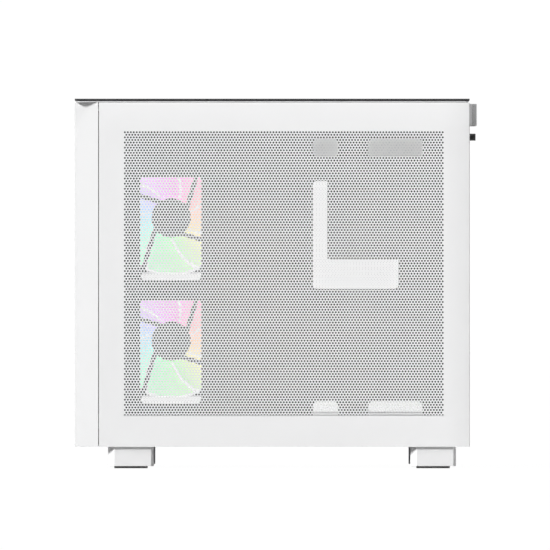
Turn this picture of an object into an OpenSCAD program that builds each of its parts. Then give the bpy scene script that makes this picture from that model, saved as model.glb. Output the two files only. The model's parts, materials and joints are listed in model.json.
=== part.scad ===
// Dual-chamber desktop computer tower: perforated side, glass front, side and top.
// +Z is up, the front faces -Y and the perforated side faces +X.
// The origin is the centre of the bounding box, on the floor.

/* [Body] */
// Width of the main chamber, from the left glass to the tray
main_w = 198; // [195:1:270]
// Length of the body, front to back
body_d = 450; // [445:1:560]
// Height of the body above its feet
body_h = 396.5; // [394:0.5:480]
// Height of the feet
foot_h = 24.5; // [14:0.5:36]
// Width of the chamber between the tray and the perforated side
chamber_w = 90; // [89:0.5:110]
// Thickness of the steel sheet
sheet = 1.2; // [0.8:0.1:1.5]
// Thickness of the glass panes
glass_t = 4; // [3:0.5:5]

/* [Front corner] */
// Length of the front corner cover along the side
strip_d = 27.2; // [26:0.1:34]
// How far the corner cover slants inwards at the front
strip_slant = 14; // [6:0.5:20]
// Wall of the corner cover
cover_wall = 2.4; // [1.8:0.1:3]
// Radius of the power button
power_r = 9; // [6:0.5:11]
// Radius of the reset button
reset_r = 3; // [2.5:0.5:5]
// Travel of both buttons
button_travel = 1.5; // [0.5:0.1:1.6]

/* [Top panel] */
// How far the rear pull tab stands out
tab_proud = 9; // [8:0.5:14]
// Height of the rear pull tab
tab_h = 25; // [16:1:30]
// Width of the rear pull tab
tab_w = 90; // [60:1:120]
// Radius of the thumbscrew's knurled head
screw_head_r = 4; // [3.5:0.5:6]

/* [Feet] */
// Length of a foot, front to back
foot_l = 52; // [40:1:64]
// Width of a foot
foot_w = 44; // [30:1:50]
// Width of the slanted corners at the front of a foot
foot_chamfer = 7; // [2:0.5:10]
// Width of the slanted corners at the rear of a foot
foot_trim = 3; // [2:0.5:10]
// Thickness of the rubber pads
pad_t = 2.5; // [1.5:0.5:4]
// Distance from the front of the body to the front feet
foot_front = 38; // [20:0.5:80]
// Distance from the rear of the body to the rear feet
foot_rear = 15.6; // [5:0.5:80]

/* [Fans] */
// Size of the two large fans
fan_size = 140; // [120:1:140]
// Distance between the centres of the two large fans
fan_pitch = 141; // [140.5:0.5:150]
// Distance from the front of the body to the fans' axes
fan_front = 109.5; // [90:0.5:120]
// Height of the lower fan's axis above the base
lower_fan_h = 120; // [108:0.5:120.5]
// Width of the windows in front of the fans
window_w = 70; // [60:1:80]
// Height of the windows in front of the fans
window_h = 118; // [100:0.5:120]
// Distance from the fans' axes down to the middles of their windows
window_drop = 12; // [6:0.5:13]

/* [Rear chamber] */
// Distance from the rear edge of the body to the recessed rear panel
recess = 9; // [6:0.5:12]
// Height of the power supply, along the tray
supply_h = 125; // [120:1:130]
// Width of the power supply, across the chamber
supply_w = 63.5; // [60:0.5:66]
// Length of the power supply
supply_l = 130; // [110:1:136]
// Height of the power supply above the base
supply_z = 53.5; // [46:0.5:60]
// Height of the drive cage
cage_h = 108; // [107:0.5:112]
// Depth of the drive cage across the chamber
cage_w = 72; // [71:0.5:76]
// Length of the drive cage
cage_l = 148.5; // [146:0.5:150]
// Distance from the top of the body down to the drive cage
cage_drop = 75.7; // [60:0.5:80]

/* [Hidden] */
$fn = 48;
eps = 0.01;
gap = 0.4;          // clearance between panels that come off and the chassis
run_fit = 0.05;     // radial clearance of shafts in their bearings

// outer faces of the body
body_w = main_w + chamber_w;
x_right = body_w / 2;
x_left = -body_w / 2;
y_front = -(body_d + tab_proud) / 2;
y_rear = y_front + body_d;
z_bot = foot_h;
z_top = foot_h + body_h;

// faces of the chassis inside the panels
frame_left = x_left + 8;
frame_front = y_front + 7.5;
frame_right = x_right - sheet - 0.5;
frame_rear = y_rear - sheet - 0.3;
floor_t = 1.5;
floor_z = z_bot + floor_t;
skirt_z = z_bot + 20;
upstand_z = z_bot + 36;
glass_z = [skirt_z + gap, z_top - glass_t - gap];
tray_panel_h = 8.7;
roof_z = z_top - glass_t - tray_panel_h - 0.3;
roof_h = 12;
beam_z = z_top - 55;
tray_x = x_right - chamber_w;
tray_face = tray_x - sheet;
seam_y = y_front + strip_d;
rear_out = y_rear - recess;
rear_in = rear_out - sheet;
stud_r = 2.5;
stud_hole_r = 2.8;

// one large fan behind each window
fan_y = y_front + fan_front;
lower_fan_z = z_bot + lower_fan_h;
upper_fan_z = lower_fan_z + fan_pitch;
window_y = fan_y - 0.5;

// the board hangs from the top of the rear panel, as its sockets do
board_l = 244;
board_h = 305;
board_t = 1.6;
standoff_h = 6.5;
board_x = tray_face - standoff_h - board_t;
board_y = [rear_in - 1 - board_l, rear_in - 1];
board_z = [z_top - 36 - board_h, z_top - 36];
sockets_z = [board_z[1] - 163, board_z[1] - 4.25];
slot_pitch = 20.32;
slot_z = board_z[1] - 180;
cpu_y = board_y[1] - 98;
cpu_z = board_z[1] - 85;
cutout_y = board_y[0] + 77.1;
cooler_fan_y = cpu_y - 26;
rear_fan_z = z_top - 105;
rear_fan_x = board_x - 117;
card_z = slot_z;

supply_pos_z = z_bot + supply_z;
supply_back = rear_in - floor_t;
supply_y = supply_back - supply_l;
supply_axis_y = supply_y + supply_l / 2;
supply_axis_z = supply_pos_z + supply_h / 2;
vent_r = 55;
inlet_z = supply_pos_z + supply_h - 24;
switch_z = supply_pos_z + supply_h - 52;
supply_mid_x = tray_x + supply_w / 2;

cage_z = z_top - cage_drop - cage_h;
cage_y = rear_in - cage_l;
cage_lift = 5;
bay_w = (cage_w - cage_lift - 2 * sheet) / 2;
function bay_x(i) = tray_x + cage_lift + i * (bay_w + sheet);
drive = [26.1, 146.5, 101.6];

power_z = z_top - 36;
reset_z = power_z - 24;
io_x = tray_x + 38;
io_board_y = y_front + 15.5;
filter_x = [x_left + 56, tray_x - 10];
filter_l = 360;
filter_h = 4.5;
pocket_z = z_bot + filter_h + gap;
foot_out = 3.5;

// ---------- shared shapes ----------
module slab(x, y, z) {
    translate([x[0], y[0], z[0]]) cube([x[1] - x[0], y[1] - y[0], z[1] - z[0]]);
}
module rounded(u, v, r) {
    translate([u[0] + r, v[0]]) square([u[1] - u[0] - 2 * r, v[1] - v[0]]);
    translate([u[0], v[0] + r]) square([u[1] - u[0], v[1] - v[0] - 2 * r]);
    for (a = [u[0] + r, u[1] - r]) for (b = [v[0] + r, v[1] - r]) translate([a, b]) circle(r);
}
// a rounded rectangle in Y and Z, extruded along X
module window_x(x, y, z, r) {
    translate([x[0], 0, 0]) rotate([90, 0, 90]) linear_extrude(x[1] - x[0]) rounded(y, z, r);
}
// a rounded rectangle in X and Z, extruded along Y
module window_y(x, y, z, r) {
    translate([0, y[1], 0]) rotate([90, 0, 0]) linear_extrude(y[1] - y[0]) rounded(x, z, r);
}
module window_z(x, y, z, r) {
    translate([0, 0, z[0]]) linear_extrude(z[1] - z[0]) rounded(x, y, r);
}
module rod_x(x, y, z, r) translate([x[0], y, z]) rotate([0, 90, 0]) cylinder(h = x[1] - x[0], r = r);
module rod_y(x, y, z, r) translate([x, y[0], z]) rotate([-90, 0, 0]) cylinder(h = y[1] - y[0], r = r);
module rod_z(x, y, z, r) translate([x, y, z[0]]) cylinder(h = z[1] - z[0], r = r);
module ring(h, r_out, r_in) {
    difference() {
        cylinder(h = h, r = r_out);
        translate([0, 0, -eps]) cylinder(h = h + 2 * eps, r = r_in);
    }
}
// rings and spokes across a round opening, lying on Z = 0
module guard(r, t, rings) {
    for (i = [1:rings]) ring(t, r * i / (rings + 1) + 1, r * i / (rings + 1) - 1);
    for (a = [0, 90]) rotate(a) translate([-r, -1.5, 0]) cube([2 * r, 3, t]);
}

// ---------- fans, with the motor's struts on Z = 0 and the air inlet on top ----------
function fan_bore(size) = size / 2 - 3.5;
function hub_r(size) = size * 0.16;
strut_turn = 17;
module fan_frame(size, depth, holes) {
    r_hub = hub_r(size);
    difference() {
        window_z([-size / 2, size / 2], [-size / 2, size / 2], [0, depth], 5);
        translate([0, 0, -eps]) cylinder(h = depth + 2 * eps, r = fan_bore(size));
        for (sx = [-1, 1]) for (sy = [-1, 1])
            rod_z(sx * holes / 2, sy * holes / 2, [-eps, depth + eps], 2.2);
    }
    difference() {
        union() {
            cylinder(h = 3, r = r_hub);
            for (a = [0:90:270]) rotate(a + strut_turn) translate([r_hub * 0.55, r_hub * 0.5, 0])
                cube([fan_bore(size) + 1 - r_hub * 0.55, 5, 3]);
            cylinder(h = depth * 0.7, r = 4);
        }
        translate([0, 0, 3]) cylinder(h = depth, r = 1.5 + run_fit);
    }
}
module fan_rotor(size, depth, blades) {
    r_hub = hub_r(size);
    r_tip = fan_bore(size) - 1.5;
    difference() {
        translate([0, 0, 4]) cylinder(h = depth - 6, r = r_hub);
        translate([0, 0, 4 - eps]) cylinder(h = depth * 0.7 - 3, r = r_hub - 2);
    }
    translate([0, 0, 4]) cylinder(h = depth - 6.5, r = 1.5);
    intersection() {
        translate([0, 0, 4.5]) ring(depth - 7, r_tip, r_hub - 1);
        for (i = [0:blades - 1]) rotate(360 * i / blades) translate([0, 0, depth / 2])
            rotate([48, 0, 0]) translate([r_hub - 1.5, -depth, -0.8]) cube([r_tip, 2 * depth, 1.6]);
    }
}

// ---------- chassis ----------
module base_frame() color("white") {
    front_skirt_x = tray_x - 0.1;
    difference() {
        union() {
            slab([x_left, front_skirt_x], [y_front, frame_rear], [z_bot, skirt_z]);
            slab([front_skirt_x - eps, frame_right], [seam_y + gap, frame_rear], [z_bot, skirt_z]);
            slab([frame_left, tray_x], [frame_front, frame_front + sheet], [floor_z - eps, upstand_z]);
            slab([frame_left, frame_left + sheet], [frame_front, rear_in], [floor_z - eps, upstand_z]);
            slab([frame_right - sheet, frame_right], [seam_y + 20, rear_in], [floor_z - eps, upstand_z]);
        }
        slab([x_left + sheet, frame_left], [y_front + sheet, frame_rear - sheet], [floor_z, skirt_z + eps]);
        slab([frame_left - eps, tray_x - sheet], [y_front + sheet, frame_front], [floor_z, skirt_z + eps]);
        slab([frame_left + sheet, frame_right - sheet], [seam_y + 2, frame_rear - sheet],
            [floor_z, skirt_z + eps]);
        slab([frame_left + sheet, front_skirt_x - sheet], [frame_front + sheet, seam_y + 3],
            [floor_z, skirt_z + eps]);
        // the slot and pocket for the dust filter
        slab([filter_x[0] - gap, filter_x[1] + gap], [y_front - eps, y_front + filter_l + gap],
            [z_bot - eps, floor_z + eps]);
        slab([filter_x[0] - gap, filter_x[1] + gap], [y_front - eps, frame_front + sheet + eps],
            [z_bot - eps, pocket_z]);
        for (z = [z_bot + 28]) {
            for (y = [y_front + 80, y_rear - 60])
                rod_x([frame_left - 1, frame_left + sheet + 1], y, z, stud_hole_r);
            for (y = [seam_y + 40, y_rear - 60])
                rod_x([frame_right - sheet - 1, frame_right + 1], y, z, stud_hole_r);
            for (x = [x_left + 40, tray_x - 30])
                rod_y(x, [frame_front - 1, frame_front + sheet + 1], z, stud_hole_r);
        }
    }
    difference() {
        slab([filter_x[0] - gap - sheet, filter_x[1] + gap + sheet],
            [frame_front + eps, y_front + filter_l + gap + sheet], [z_bot, pocket_z + sheet]);
        slab([filter_x[0] - gap, filter_x[1] + gap], [frame_front - 1, y_front + filter_l + gap],
            [z_bot - eps, pocket_z]);
        for (i = [0:3]) window_z([filter_x[0] + 8, filter_x[1] - 8],
            [y_front + 22 + 84 * i, y_front + 96 + 84 * i], [pocket_z - 1, pocket_z + 3], 6);
    }
}
module top_frame() color("white") {
    roof_top = roof_z;
    difference() {
        union() {
            slab([frame_left, frame_right], [seam_y + gap, frame_rear], [roof_z - roof_h, roof_top]);
            slab([frame_left, tray_x], [frame_front, seam_y + gap + eps], [roof_z - roof_h, roof_top]);
            slab([frame_left, frame_right], [frame_rear - sheet, frame_rear], [beam_z, roof_top]);
        }
        slab([frame_left + sheet, frame_right - sheet], [seam_y + gap + sheet, frame_rear - sheet],
            [roof_z - roof_h - eps, roof_top - sheet]);
        slab([frame_left + sheet, tray_x - sheet], [frame_front + sheet, seam_y + 5],
            [roof_z - roof_h - eps, roof_top - sheet]);
        window_z([frame_left + 22, tray_face - 20], [frame_front + 30, rear_in - 30],
            [roof_top - 2, roof_top + 1], 8);
        window_z([tray_x + 14, frame_right - 20], [seam_y + 40, rear_in - 40],
            [roof_top - 2, roof_top + 1], 8);
        rod_y(0, [frame_rear - sheet - 1, frame_rear + 1], z_top - 42.7, 1.75 + run_fit);
        for (y = [y_front + 80, y_rear - 60]) rod_x([frame_left - 1, frame_left + sheet + 1], y,
            roof_z - 6, stud_hole_r);
        for (y = [seam_y + 40, y_rear - 60]) rod_x([frame_right - sheet - 1, frame_right + 1], y,
            roof_z - 6, stud_hole_r);
        for (x = [x_left + 40, tray_x - 30]) rod_y(x, [frame_front - 1, frame_front + sheet + 1],
            roof_z - 6, stud_hole_r);
    }
}
module rear_panel() color("white") {
    difference() {
        slab([frame_left + sheet, frame_right - sheet], [rear_in, rear_out], [floor_z, roof_z - sheet]);
        window_y([board_x - 40.6, board_x + 3.8], [rear_in - 1, rear_out + 1], sockets_z, 1);
        rod_y(rear_fan_x, [rear_in - 1, rear_out + 1], rear_fan_z, 57);
        for (sx = [-1, 1]) for (sz = [-1, 1])
            rod_y(rear_fan_x + sx * 52.5, [rear_in - 1, rear_out + 1], rear_fan_z + sz * 52.5, 2.25);
        for (i = [0:6]) slab([board_x - 106, board_x - 4], [rear_in - 1, rear_out + 1],
            [slot_z - i * slot_pitch - 7, slot_z - i * slot_pitch + 7]);
        window_y([tray_x + 3, tray_x + supply_w - 3], [rear_in - 1, rear_out + 1],
            [supply_pos_z + 4, supply_pos_z + supply_h - 4], 2);
        for (i = [0:9]) window_y([tray_x + 12, frame_right - 12], [rear_in - 1, rear_out + 1],
            [cage_z + 8 + 9.6 * i, cage_z + 12 + 9.6 * i], 1.9);
    }
    translate([rear_fan_x, rear_out, rear_fan_z]) rotate([90, 0, 0]) guard(57.5, sheet, 4);
    for (x = [frame_left + sheet, frame_right - 2 * sheet])
        slab([x, x + sheet], [rear_out - eps, frame_rear - sheet], [floor_z, roof_z - sheet]);
}
module front_frame() color("white") {
    wall_y = [seam_y - 4.8, seam_y - 4.8 + sheet];
    slab([tray_x, frame_right - strip_slant], wall_y, [floor_z, roof_z - sheet]);
    difference() {
        slab([frame_right - strip_slant - sheet, frame_right - strip_slant],
            [wall_y[1] - eps, seam_y + 24], [floor_z, roof_z - roof_h]);
        slab([frame_right - 30, frame_right], [seam_y + gap - eps, seam_y + gap + 30],
            [roof_z - roof_h - 30, roof_z]);
        slab([frame_right - 30, frame_right], [seam_y, seam_y + 30], [floor_z - eps, skirt_z + 20]);
    }
    slab([tray_x, tray_x + sheet], [frame_front, wall_y[0] + eps], [skirt_z, roof_z - roof_h]);
}
module corner_cover() color("white") {
    cover_z = [z_bot, z_top - glass_t - gap];
    inner_x = tray_x + 0.3;
    difference() {
        union() {
            difference() {
                translate([0, 0, cover_z[0]]) linear_extrude(cover_z[1] - cover_z[0])
                    polygon([[inner_x, y_front], [x_right - strip_slant - 3, y_front],
                        [x_right - strip_slant, y_front + 2], [x_right, seam_y - gap],
                        [inner_x, seam_y - gap]]);
                translate([0, 0, cover_z[0] + cover_wall]) linear_extrude(cover_z[1] - cover_z[0] - 2 * cover_wall)
                    polygon([[inner_x + cover_wall, y_front + cover_wall],
                        [x_right - strip_slant - 5, y_front + cover_wall],
                        [x_right - cover_wall - 0.6, seam_y - gap + eps],
                        [inner_x + cover_wall, seam_y - gap + eps]]);
            }
            for (z = [z_bot + 60, z_top - 160])
                rod_y(io_x - 24, [y_front + 1, seam_y - 4.8], z, 4);
            for (z = [z_bot + 60, z_top - 160])
                rod_y(x_right - 32, [y_front + 1, seam_y - 4.8], z, 4);
        }
        slab([inner_x - 1, inner_x + cover_wall + 1], [frame_front, seam_y], [z_bot - 1, z_top]);
        slab([inner_x - 1, frame_right - 8], [seam_y - 4.8, seam_y], [z_bot - 1, z_top]);
        rod_y(io_x, [y_front - 1, y_front + 5], power_z, power_r + 0.3);
        rod_y(io_x, [y_front - 1, y_front + 5], reset_z, reset_r + 0.3);
        for (i = [0, 1]) usb_shell(i, 0.2, -1);
        usb_c_shell(0.2, -1);
        rod_y(io_x, [y_front - 1, y_front + 5], reset_z - 106, 3.7);
    }
}
module motherboard_tray() color("white") {
    difference() {
        slab([tray_face, tray_x], [frame_front + sheet, rear_in], [floor_z, roof_z - sheet]);
        for (z = [lower_fan_z, upper_fan_z]) fan_window(z, tray_face - 1, tray_x + 1);
        // cut-out behind the processor
        window_x([tray_face - 1, tray_x + 1], [cutout_y, cutout_y + 97.4],
            [slot_z - 0.5, board_z[1] - 57.6], 4);
        // ways through for cables, above and below the board
        for (z = [z_bot + 30.4, z_top - 65.8]) {
            window_x([tray_face - 1, tray_x + 1], [cutout_y, cutout_y + 28.6], [z, z + 20.5], 5);
            window_x([tray_face - 1, tray_x + 1], [cutout_y + 63, cutout_y + 125], [z, z + 20.5], 5);
        }
        rod_x([tray_face - 1, tray_x + 1], supply_axis_y, supply_axis_z, vent_r);
        slab([tray_face - 1, tray_x + 1], [frame_front, seam_y + 6], [roof_z - roof_h, roof_z]);
        slab([tray_face - 1, tray_x + 1], [frame_front, seam_y + 6], [floor_z - 1, upstand_z + 1]);
    }
    translate([tray_face, supply_axis_y, supply_axis_z]) rotate([0, 90, 0]) guard(vent_r + 0.5, sheet, 4);
}
module fan_window(z, x0, x1) {
    window_x([x0, x1], [window_y - window_w / 2, window_y + window_w / 2],
        [z - window_drop - window_h / 2, z - window_drop + window_h / 2], 5);
}
module fan_bracket() color("white") {
    plate_y = [fan_y - 64, fan_y + 58];
    difference() {
        slab([tray_x, tray_x + 2], plate_y, [lower_fan_z - 80, upper_fan_z + 80]);
        for (z = [lower_fan_z, upper_fan_z]) {
            fan_window(z, tray_x - 1, tray_x + 3);
            window_x([tray_x - 1, tray_x + 3], [plate_y[0] + 15, plate_y[0] + 22],
                [z + 38, z + 63], 3);
            window_x([tray_x - 1, tray_x + 3], [plate_y[1] - 16, plate_y[1] - 10],
                [z + 36, z + 60], 2.9);
            window_x([tray_x - 1, tray_x + 3], [plate_y[0] + 16, plate_y[0] + 19],
                [z - 56, z + 30], 1.4);
        }
    }
}
module drive_plate() color("white") {
    plate_y = [fan_y + 59, cutout_y];
    plate_z = [lower_fan_z - 80, upper_fan_z + 80];
    difference() {
        slab([tray_x, tray_x + 4], plate_y, plate_z);
        slab([tray_x - eps, tray_x + 4 - sheet], [plate_y[0] + sheet, plate_y[1] - sheet],
            [plate_z[0] + sheet, plate_z[1] - sheet]);
        for (z = [lower_fan_z + 10, upper_fan_z + 43]) for (dy = [-30.86, 30.86]) for (dz = [-38.3, 38.3])
            rod_x([tray_x + 1, tray_x + 5], (plate_y[0] + plate_y[1]) / 2 + 14 + dy, z + dz, 2);
        for (z = [plate_z[0] + 120, plate_z[0] + 168])
            window_x([tray_x + 1, tray_x + 5], [plate_y[0] + 8, plate_y[1] - 8], [z, z + 5], 2.4);
    }
}
module drive_cage() color("white") {
    x1 = tray_x + cage_w;
    difference() {
        slab([tray_x, x1], [cage_y, rear_in], [cage_z, cage_z + cage_h]);
        for (i = [0, 1]) slab([bay_x(i), bay_x(i) + bay_w],
            [cage_y - 1, rear_in - sheet], [cage_z + sheet, cage_z + cage_h - sheet]);
        window_x([x1 - 0.5, x1 + 1], [cage_y + 2, cage_y + 102], [cage_z + 16, cage_z + 90], 3);
        for (y = [cage_y + 9, cage_y + 71]) for (z = [cage_z + 7, cage_z + cage_h - 7])
            rod_x([x1 - 0.5, x1 + 1], y, z, 3.2);
    }
}

// ---------- power supply ----------
module supply_bracket() color("white") {
    y = [supply_back, rear_in];
    difference() {
        slab([tray_x + 0.5, frame_right - 3 * sheet - 1], y, [supply_pos_z - 8, supply_pos_z + supply_h + 8]);
        slab([tray_x + 4, tray_x + supply_w - 4], [y[0] - 1, y[1] + 1],
            [supply_pos_z + 5, supply_pos_z + supply_h - 5]);
    }
}
module supply_case() color("white") {
    y = [supply_y, supply_back];
    x = [tray_x, tray_x + supply_w];
    z = [supply_pos_z, supply_pos_z + supply_h];
    difference() {
        slab(x, y, z);
        slab([x[0] + 1, x[1] - 1], [y[0] + 1, y[1] - 1], [z[0] + 1, z[1] - 1]);
        rod_x([x[0] - 1, x[0] + 2], supply_axis_y, supply_axis_z, 56);
        window_x([x[1] - 0.5, x[1] + 1], [y[0] + 9, y[0] + 71], [z[0] + 27, z[0] + 66], 4);
        slab([supply_mid_x - 13.6, supply_mid_x + 13.6], [y[1] - 2, y[1] + 1], [inlet_z - 10.1, inlet_z + 10.1]);
        slab([supply_mid_x - 9.8, supply_mid_x + 9.8], [y[1] - 2, y[1] + 1], [switch_z - 6.8, switch_z + 6.8]);
        for (i = [0:5]) window_y([x[0] + 8, x[1] - 8], [y[1] - 2, y[1] + 1], [z[0] + 9 + 9 * i, z[0] + 13 + 9 * i], 1.9);
        for (i = [0:2]) window_y([x[0] + 10, x[1] - 10], [y[0] - 1, y[0] + 2], [z[0] + 14 + 34 * i, z[0] + 32 + 34 * i], 2);
    }
    // the sleeve that the rocker switch snaps into, with its pivot holes
    difference() {
        slab([supply_mid_x - 9.8, supply_mid_x + 9.8], [y[1] - 12, y[1]], [switch_z - 6.8, switch_z + 6.8]);
        slab([supply_mid_x - 8.6, supply_mid_x + 8.6], [y[1] - 11, y[1] + 1], [switch_z - 5.6, switch_z + 5.6]);
        rod_z(supply_mid_x, y[1] - 4, [switch_z - 6.3, switch_z + 6.3], 1 + run_fit);
    }
}
module supply_circuit() color("darkgreen") {
    x = tray_x + supply_w - 6;
    y = supply_y;
    z = supply_pos_z;
    slab([x, x + 1.6], [y + 2, y + supply_l - 20], [z + 3, z + supply_h - 3]);
    for (zz = [z + 3, z + supply_h - 4.6])
        slab([x - 30, x + eps], [y + 10, y + supply_l - 30], [zz, zz + 1.6]);
    for (i = [0:2]) rod_x([x - 30, x + eps], y + 30, z + 30 + 32 * i, 11);
    slab([x - 28, x + eps], [y + 55, y + 90], [z + 40, z + 84]);
    slab([x + 1.6 - eps, x + 5], [y + 20, y + 28], [z + 20, z + 100]);
}
module on_supply() {
    translate([tray_x + 1, supply_axis_y, supply_axis_z]) rotate([0, 90, 0])
        translate([0, 0, 15]) rotate([180, 0, 0]) children();
}
module supply_fan_frame() color("dimgray") on_supply() fan_frame(120, 15, 105);
module supply_fan_rotor() color("dimgray") on_supply() fan_rotor(120, 15, 9);
module supply_inlet() color("black") {
    x = supply_mid_x;
    difference() {
        union() {
            slab([x - 13.5, x + 13.5], [supply_back - 20, supply_back + 2], [inlet_z - 10, inlet_z + 10]);
            slab([x - 15, x + 15], [supply_back, supply_back + 2], [inlet_z - 11.5, inlet_z + 11.5]);
        }
        slab([x - 12, x + 12], [supply_back - 14, supply_back + 3], [inlet_z - 8.2, inlet_z + 8.2]);
    }
    for (i = [-1:1]) slab([x + 7 * i - 1, x + 7 * i + 1], [supply_back - 15, supply_back - 1],
        [inlet_z - 4 - (i == 0 ? 2.5 : 0), inlet_z - (i == 0 ? 2.5 : 0)]);
}
module supply_switch() color("black") {
    translate([supply_mid_x, supply_back - 4, switch_z]) {
        translate([0, 0, -5.3]) linear_extrude(10.6)
            polygon([[-8, -2], [-7.6, 3.4], [0, 2.2], [7.2, 4.8], [7.6, -1], [0, -4]]);
        rod_z(0, 0, [-6.2, 6.2], 1);
    }
}

// ---------- large fans on the tray ----------
module on_tray(z) translate([tray_face, fan_y, z]) rotate([0, -90, 0]) children();
module upper_fan_frame() color("white") on_tray(upper_fan_z) fan_frame(fan_size, 25, fan_size - 15.5);
module lower_fan_frame() color("white") on_tray(lower_fan_z) fan_frame(fan_size, 25, fan_size - 15.5);
module upper_fan_rotor() color("white") on_tray(upper_fan_z) fan_rotor(fan_size, 25, 7);
module lower_fan_rotor() color("white") on_tray(lower_fan_z) fan_rotor(fan_size, 25, 7);
module at_rear() translate([rear_fan_x, rear_in, rear_fan_z]) rotate([90, 0, 0]) children();
module rear_fan_frame() color("white") at_rear() fan_frame(120, 25, 105);
module rear_fan_rotor() color("white") at_rear() fan_rotor(120, 25, 7);

// ---------- motherboard and what is on it ----------
function memory_y(i) = board_y[0] + 55.5 + 9.5 * i;
stand_y = [board_y[0] + 6, board_y[0] + 72, board_y[1] - 10];
stand_z = [board_z[0] + 8, board_z[0] + 143, board_z[1] - 10];
module motherboard() color("white") {
    x = [board_x, board_x + board_t];
    face = x[0] + eps;
    difference() {
        slab(x, board_y, board_z);
        for (y = stand_y) for (z = stand_z) rod_x([x[0] - 1, x[1] + 1], y, z, 1.9);
    }
    slab([board_x - 5, face], [cpu_y - 24, cpu_y + 24], [cpu_z - 24, cpu_z + 24]);
    slab([board_x - 24, face], [board_y[1] - 52, board_y[1] - 34], [cpu_z - 40, cpu_z + 66]);
    slab([board_x - 24, face], [cpu_y - 34, cpu_y + 40], [board_z[1] - 24, board_z[1] - 4]);
    for (i = [0:3]) slab([board_x - 9, face], [memory_y(i) + 0.5, memory_y(i) + 7.5],
        [board_z[1] - 158, board_z[1] - 20]);
    for (i = [0, 3]) slab([board_x - 11, face], [board_y[1] - 145, board_y[1] - 53],
        [card_z - i * slot_pitch - 3.5, card_z - i * slot_pitch + 3.5]);
    slab([board_x - 14, face], [board_y[0] + 4, board_y[0] + 14], [board_z[1] - 110, board_z[1] - 58]);
    slab([board_x - 8, face], [board_y[0] + 40, board_y[0] + 90], [board_z[0] + 45, board_z[0] + 90]);
    slab([board_x - 8, face], [board_y[0] + 6, board_y[0] + 30], [board_z[0] + 30, board_z[0] + 80]);
}
module io_shield() color("silver") {
    difference() {
        slab([board_x - 43, board_x + 5], [rear_in - 0.9, rear_in], [sockets_z[0] - 2, sockets_z[1] + 2]);
        slab([board_x - 38, board_x + 0.5], [rear_in - 2, rear_in + 1], [sockets_z[0] + 6, sockets_z[1] - 6]);
    }
}
module io_ports() color("dimgray") {
    for (i = [0:5]) difference() {
        slab([board_x - 16, board_x], [rear_in - 18, rear_out + 1],
            [sockets_z[0] + 10 + 23 * i, sockets_z[0] + 25 + 23 * i]);
        for (k = [0, 1]) slab([board_x - 14.5, board_x - 1.5], [rear_out - 12, rear_out + 2],
            [sockets_z[0] + 11.5 + 23 * i + 7 * k, sockets_z[0] + 16.5 + 23 * i + 7 * k]);
    }
    slab([board_x - 34, board_x - 16 + eps], [rear_in - 18, rear_in - 1.2], [sockets_z[0] + 10, sockets_z[0] + 140]);
}
module processor() color("silver") {
    slab([board_x - 9, board_x - 5], [cpu_y - 19, cpu_y + 19], [cpu_z - 19, cpu_z + 19]);
}
module heatsink() color("silver") {
    x0 = board_x - 153;
    slab([board_x - 21, board_x - 9], [cpu_y - 20, cpu_y + 20], [cpu_z - 20, cpu_z + 20]);
    for (z = [-42, -14, 14, 42]) {
        rod_x([x0, board_x - 14], cpu_y - 8, cpu_z + z, 3);
        rod_x([x0, board_x - 14], cpu_y + 10, cpu_z + z * 0.8, 3);
        slab([board_x - 19, board_x - 14], [cpu_y - 11, cpu_y + 13], [cpu_z - abs(z) - 3, cpu_z + abs(z) + 3]);
    }
    for (i = [0:26]) slab([x0 + 2 + 4 * i, x0 + 2.8 + 4 * i], [cpu_y - 26, cpu_y + 26],
        [cpu_z - 60, cpu_z + 60]);
}
module on_cooler() translate([board_x - 93, cooler_fan_y, cpu_z]) rotate([90, 0, 0]) children();
module cooler_fan_frame() color("white") on_cooler() fan_frame(120, 25, 105);
module cooler_fan_rotor() color("white") on_cooler() fan_rotor(120, 25, 7);
module memory_modules() color("white") {
    for (i = [1, 3]) slab([board_x - 42, board_x - 9], [memory_y(i), memory_y(i) + 8],
        [board_z[1] - 156, board_z[1] - 22]);
}
card_y = [rear_in - 250, rear_in - 1];
card_rotors = [card_y[0] + 58, card_y[0] + 168];
card_x = board_x - 66;
module graphics_board() color("dimgray") {
    slab([board_x - 122, board_x - 11], card_y, [card_z - 0.8, card_z + 0.8]);
    slab([board_x - 116, board_x - 16], [card_y[0] + 6, card_y[1] - 4], [card_z - 22, card_z - 0.7]);
    slab([board_x - 118, board_x - 0.5], [rear_in - 1, rear_in],
        [card_z - slot_pitch - 9, card_z + 9]);
    for (y = card_rotors) translate([card_x, y, card_z - 22]) rotate([180, 0, 0]) difference() {
        cylinder(h = 9, r = 4);
        translate([0, 0, 2]) cylinder(h = 9, r = 1.5 + run_fit);
    }
}
module graphics_shroud() color("white") {
    difference() {
        slab([board_x - 124, board_x - 14], [card_y[0], card_y[1] - 6], [card_z - 40, card_z - 0.8]);
        slab([board_x - 121, board_x - 10], [card_y[0] + 3, card_y[1] - 3], [card_z - 37, card_z]);
        for (y = card_rotors) rod_z(card_x, y, [card_z - 41, card_z - 36], 46.5);
    }
    slab([board_x - 121, board_x - 20], [card_y[0] + 2, card_y[1] - 10], [card_z + 0.8, card_z + 2.4]);
}
module card_rotor(y) {
    translate([card_x, y, card_z - 22]) rotate([180, 0, 0]) {
        difference() {
            translate([0, 0, 4]) cylinder(h = 13, r = 17);
            translate([0, 0, 4 - eps]) cylinder(h = 8, r = 15);
        }
        translate([0, 0, 3]) cylinder(h = 12, r = 1.5);
        intersection() {
            translate([0, 0, 4.5]) ring(12, 45, 16);
            for (i = [0:8]) rotate(40 * i) translate([0, 0, 10.5]) rotate([40, 0, 0])
                translate([15.5, -15, -0.6]) cube([45, 30, 1.2]);
        }
    }
}
module graphics_rotor_front() color("white") card_rotor(card_rotors[0]);
module graphics_rotor_rear() color("white") card_rotor(card_rotors[1]);
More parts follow.
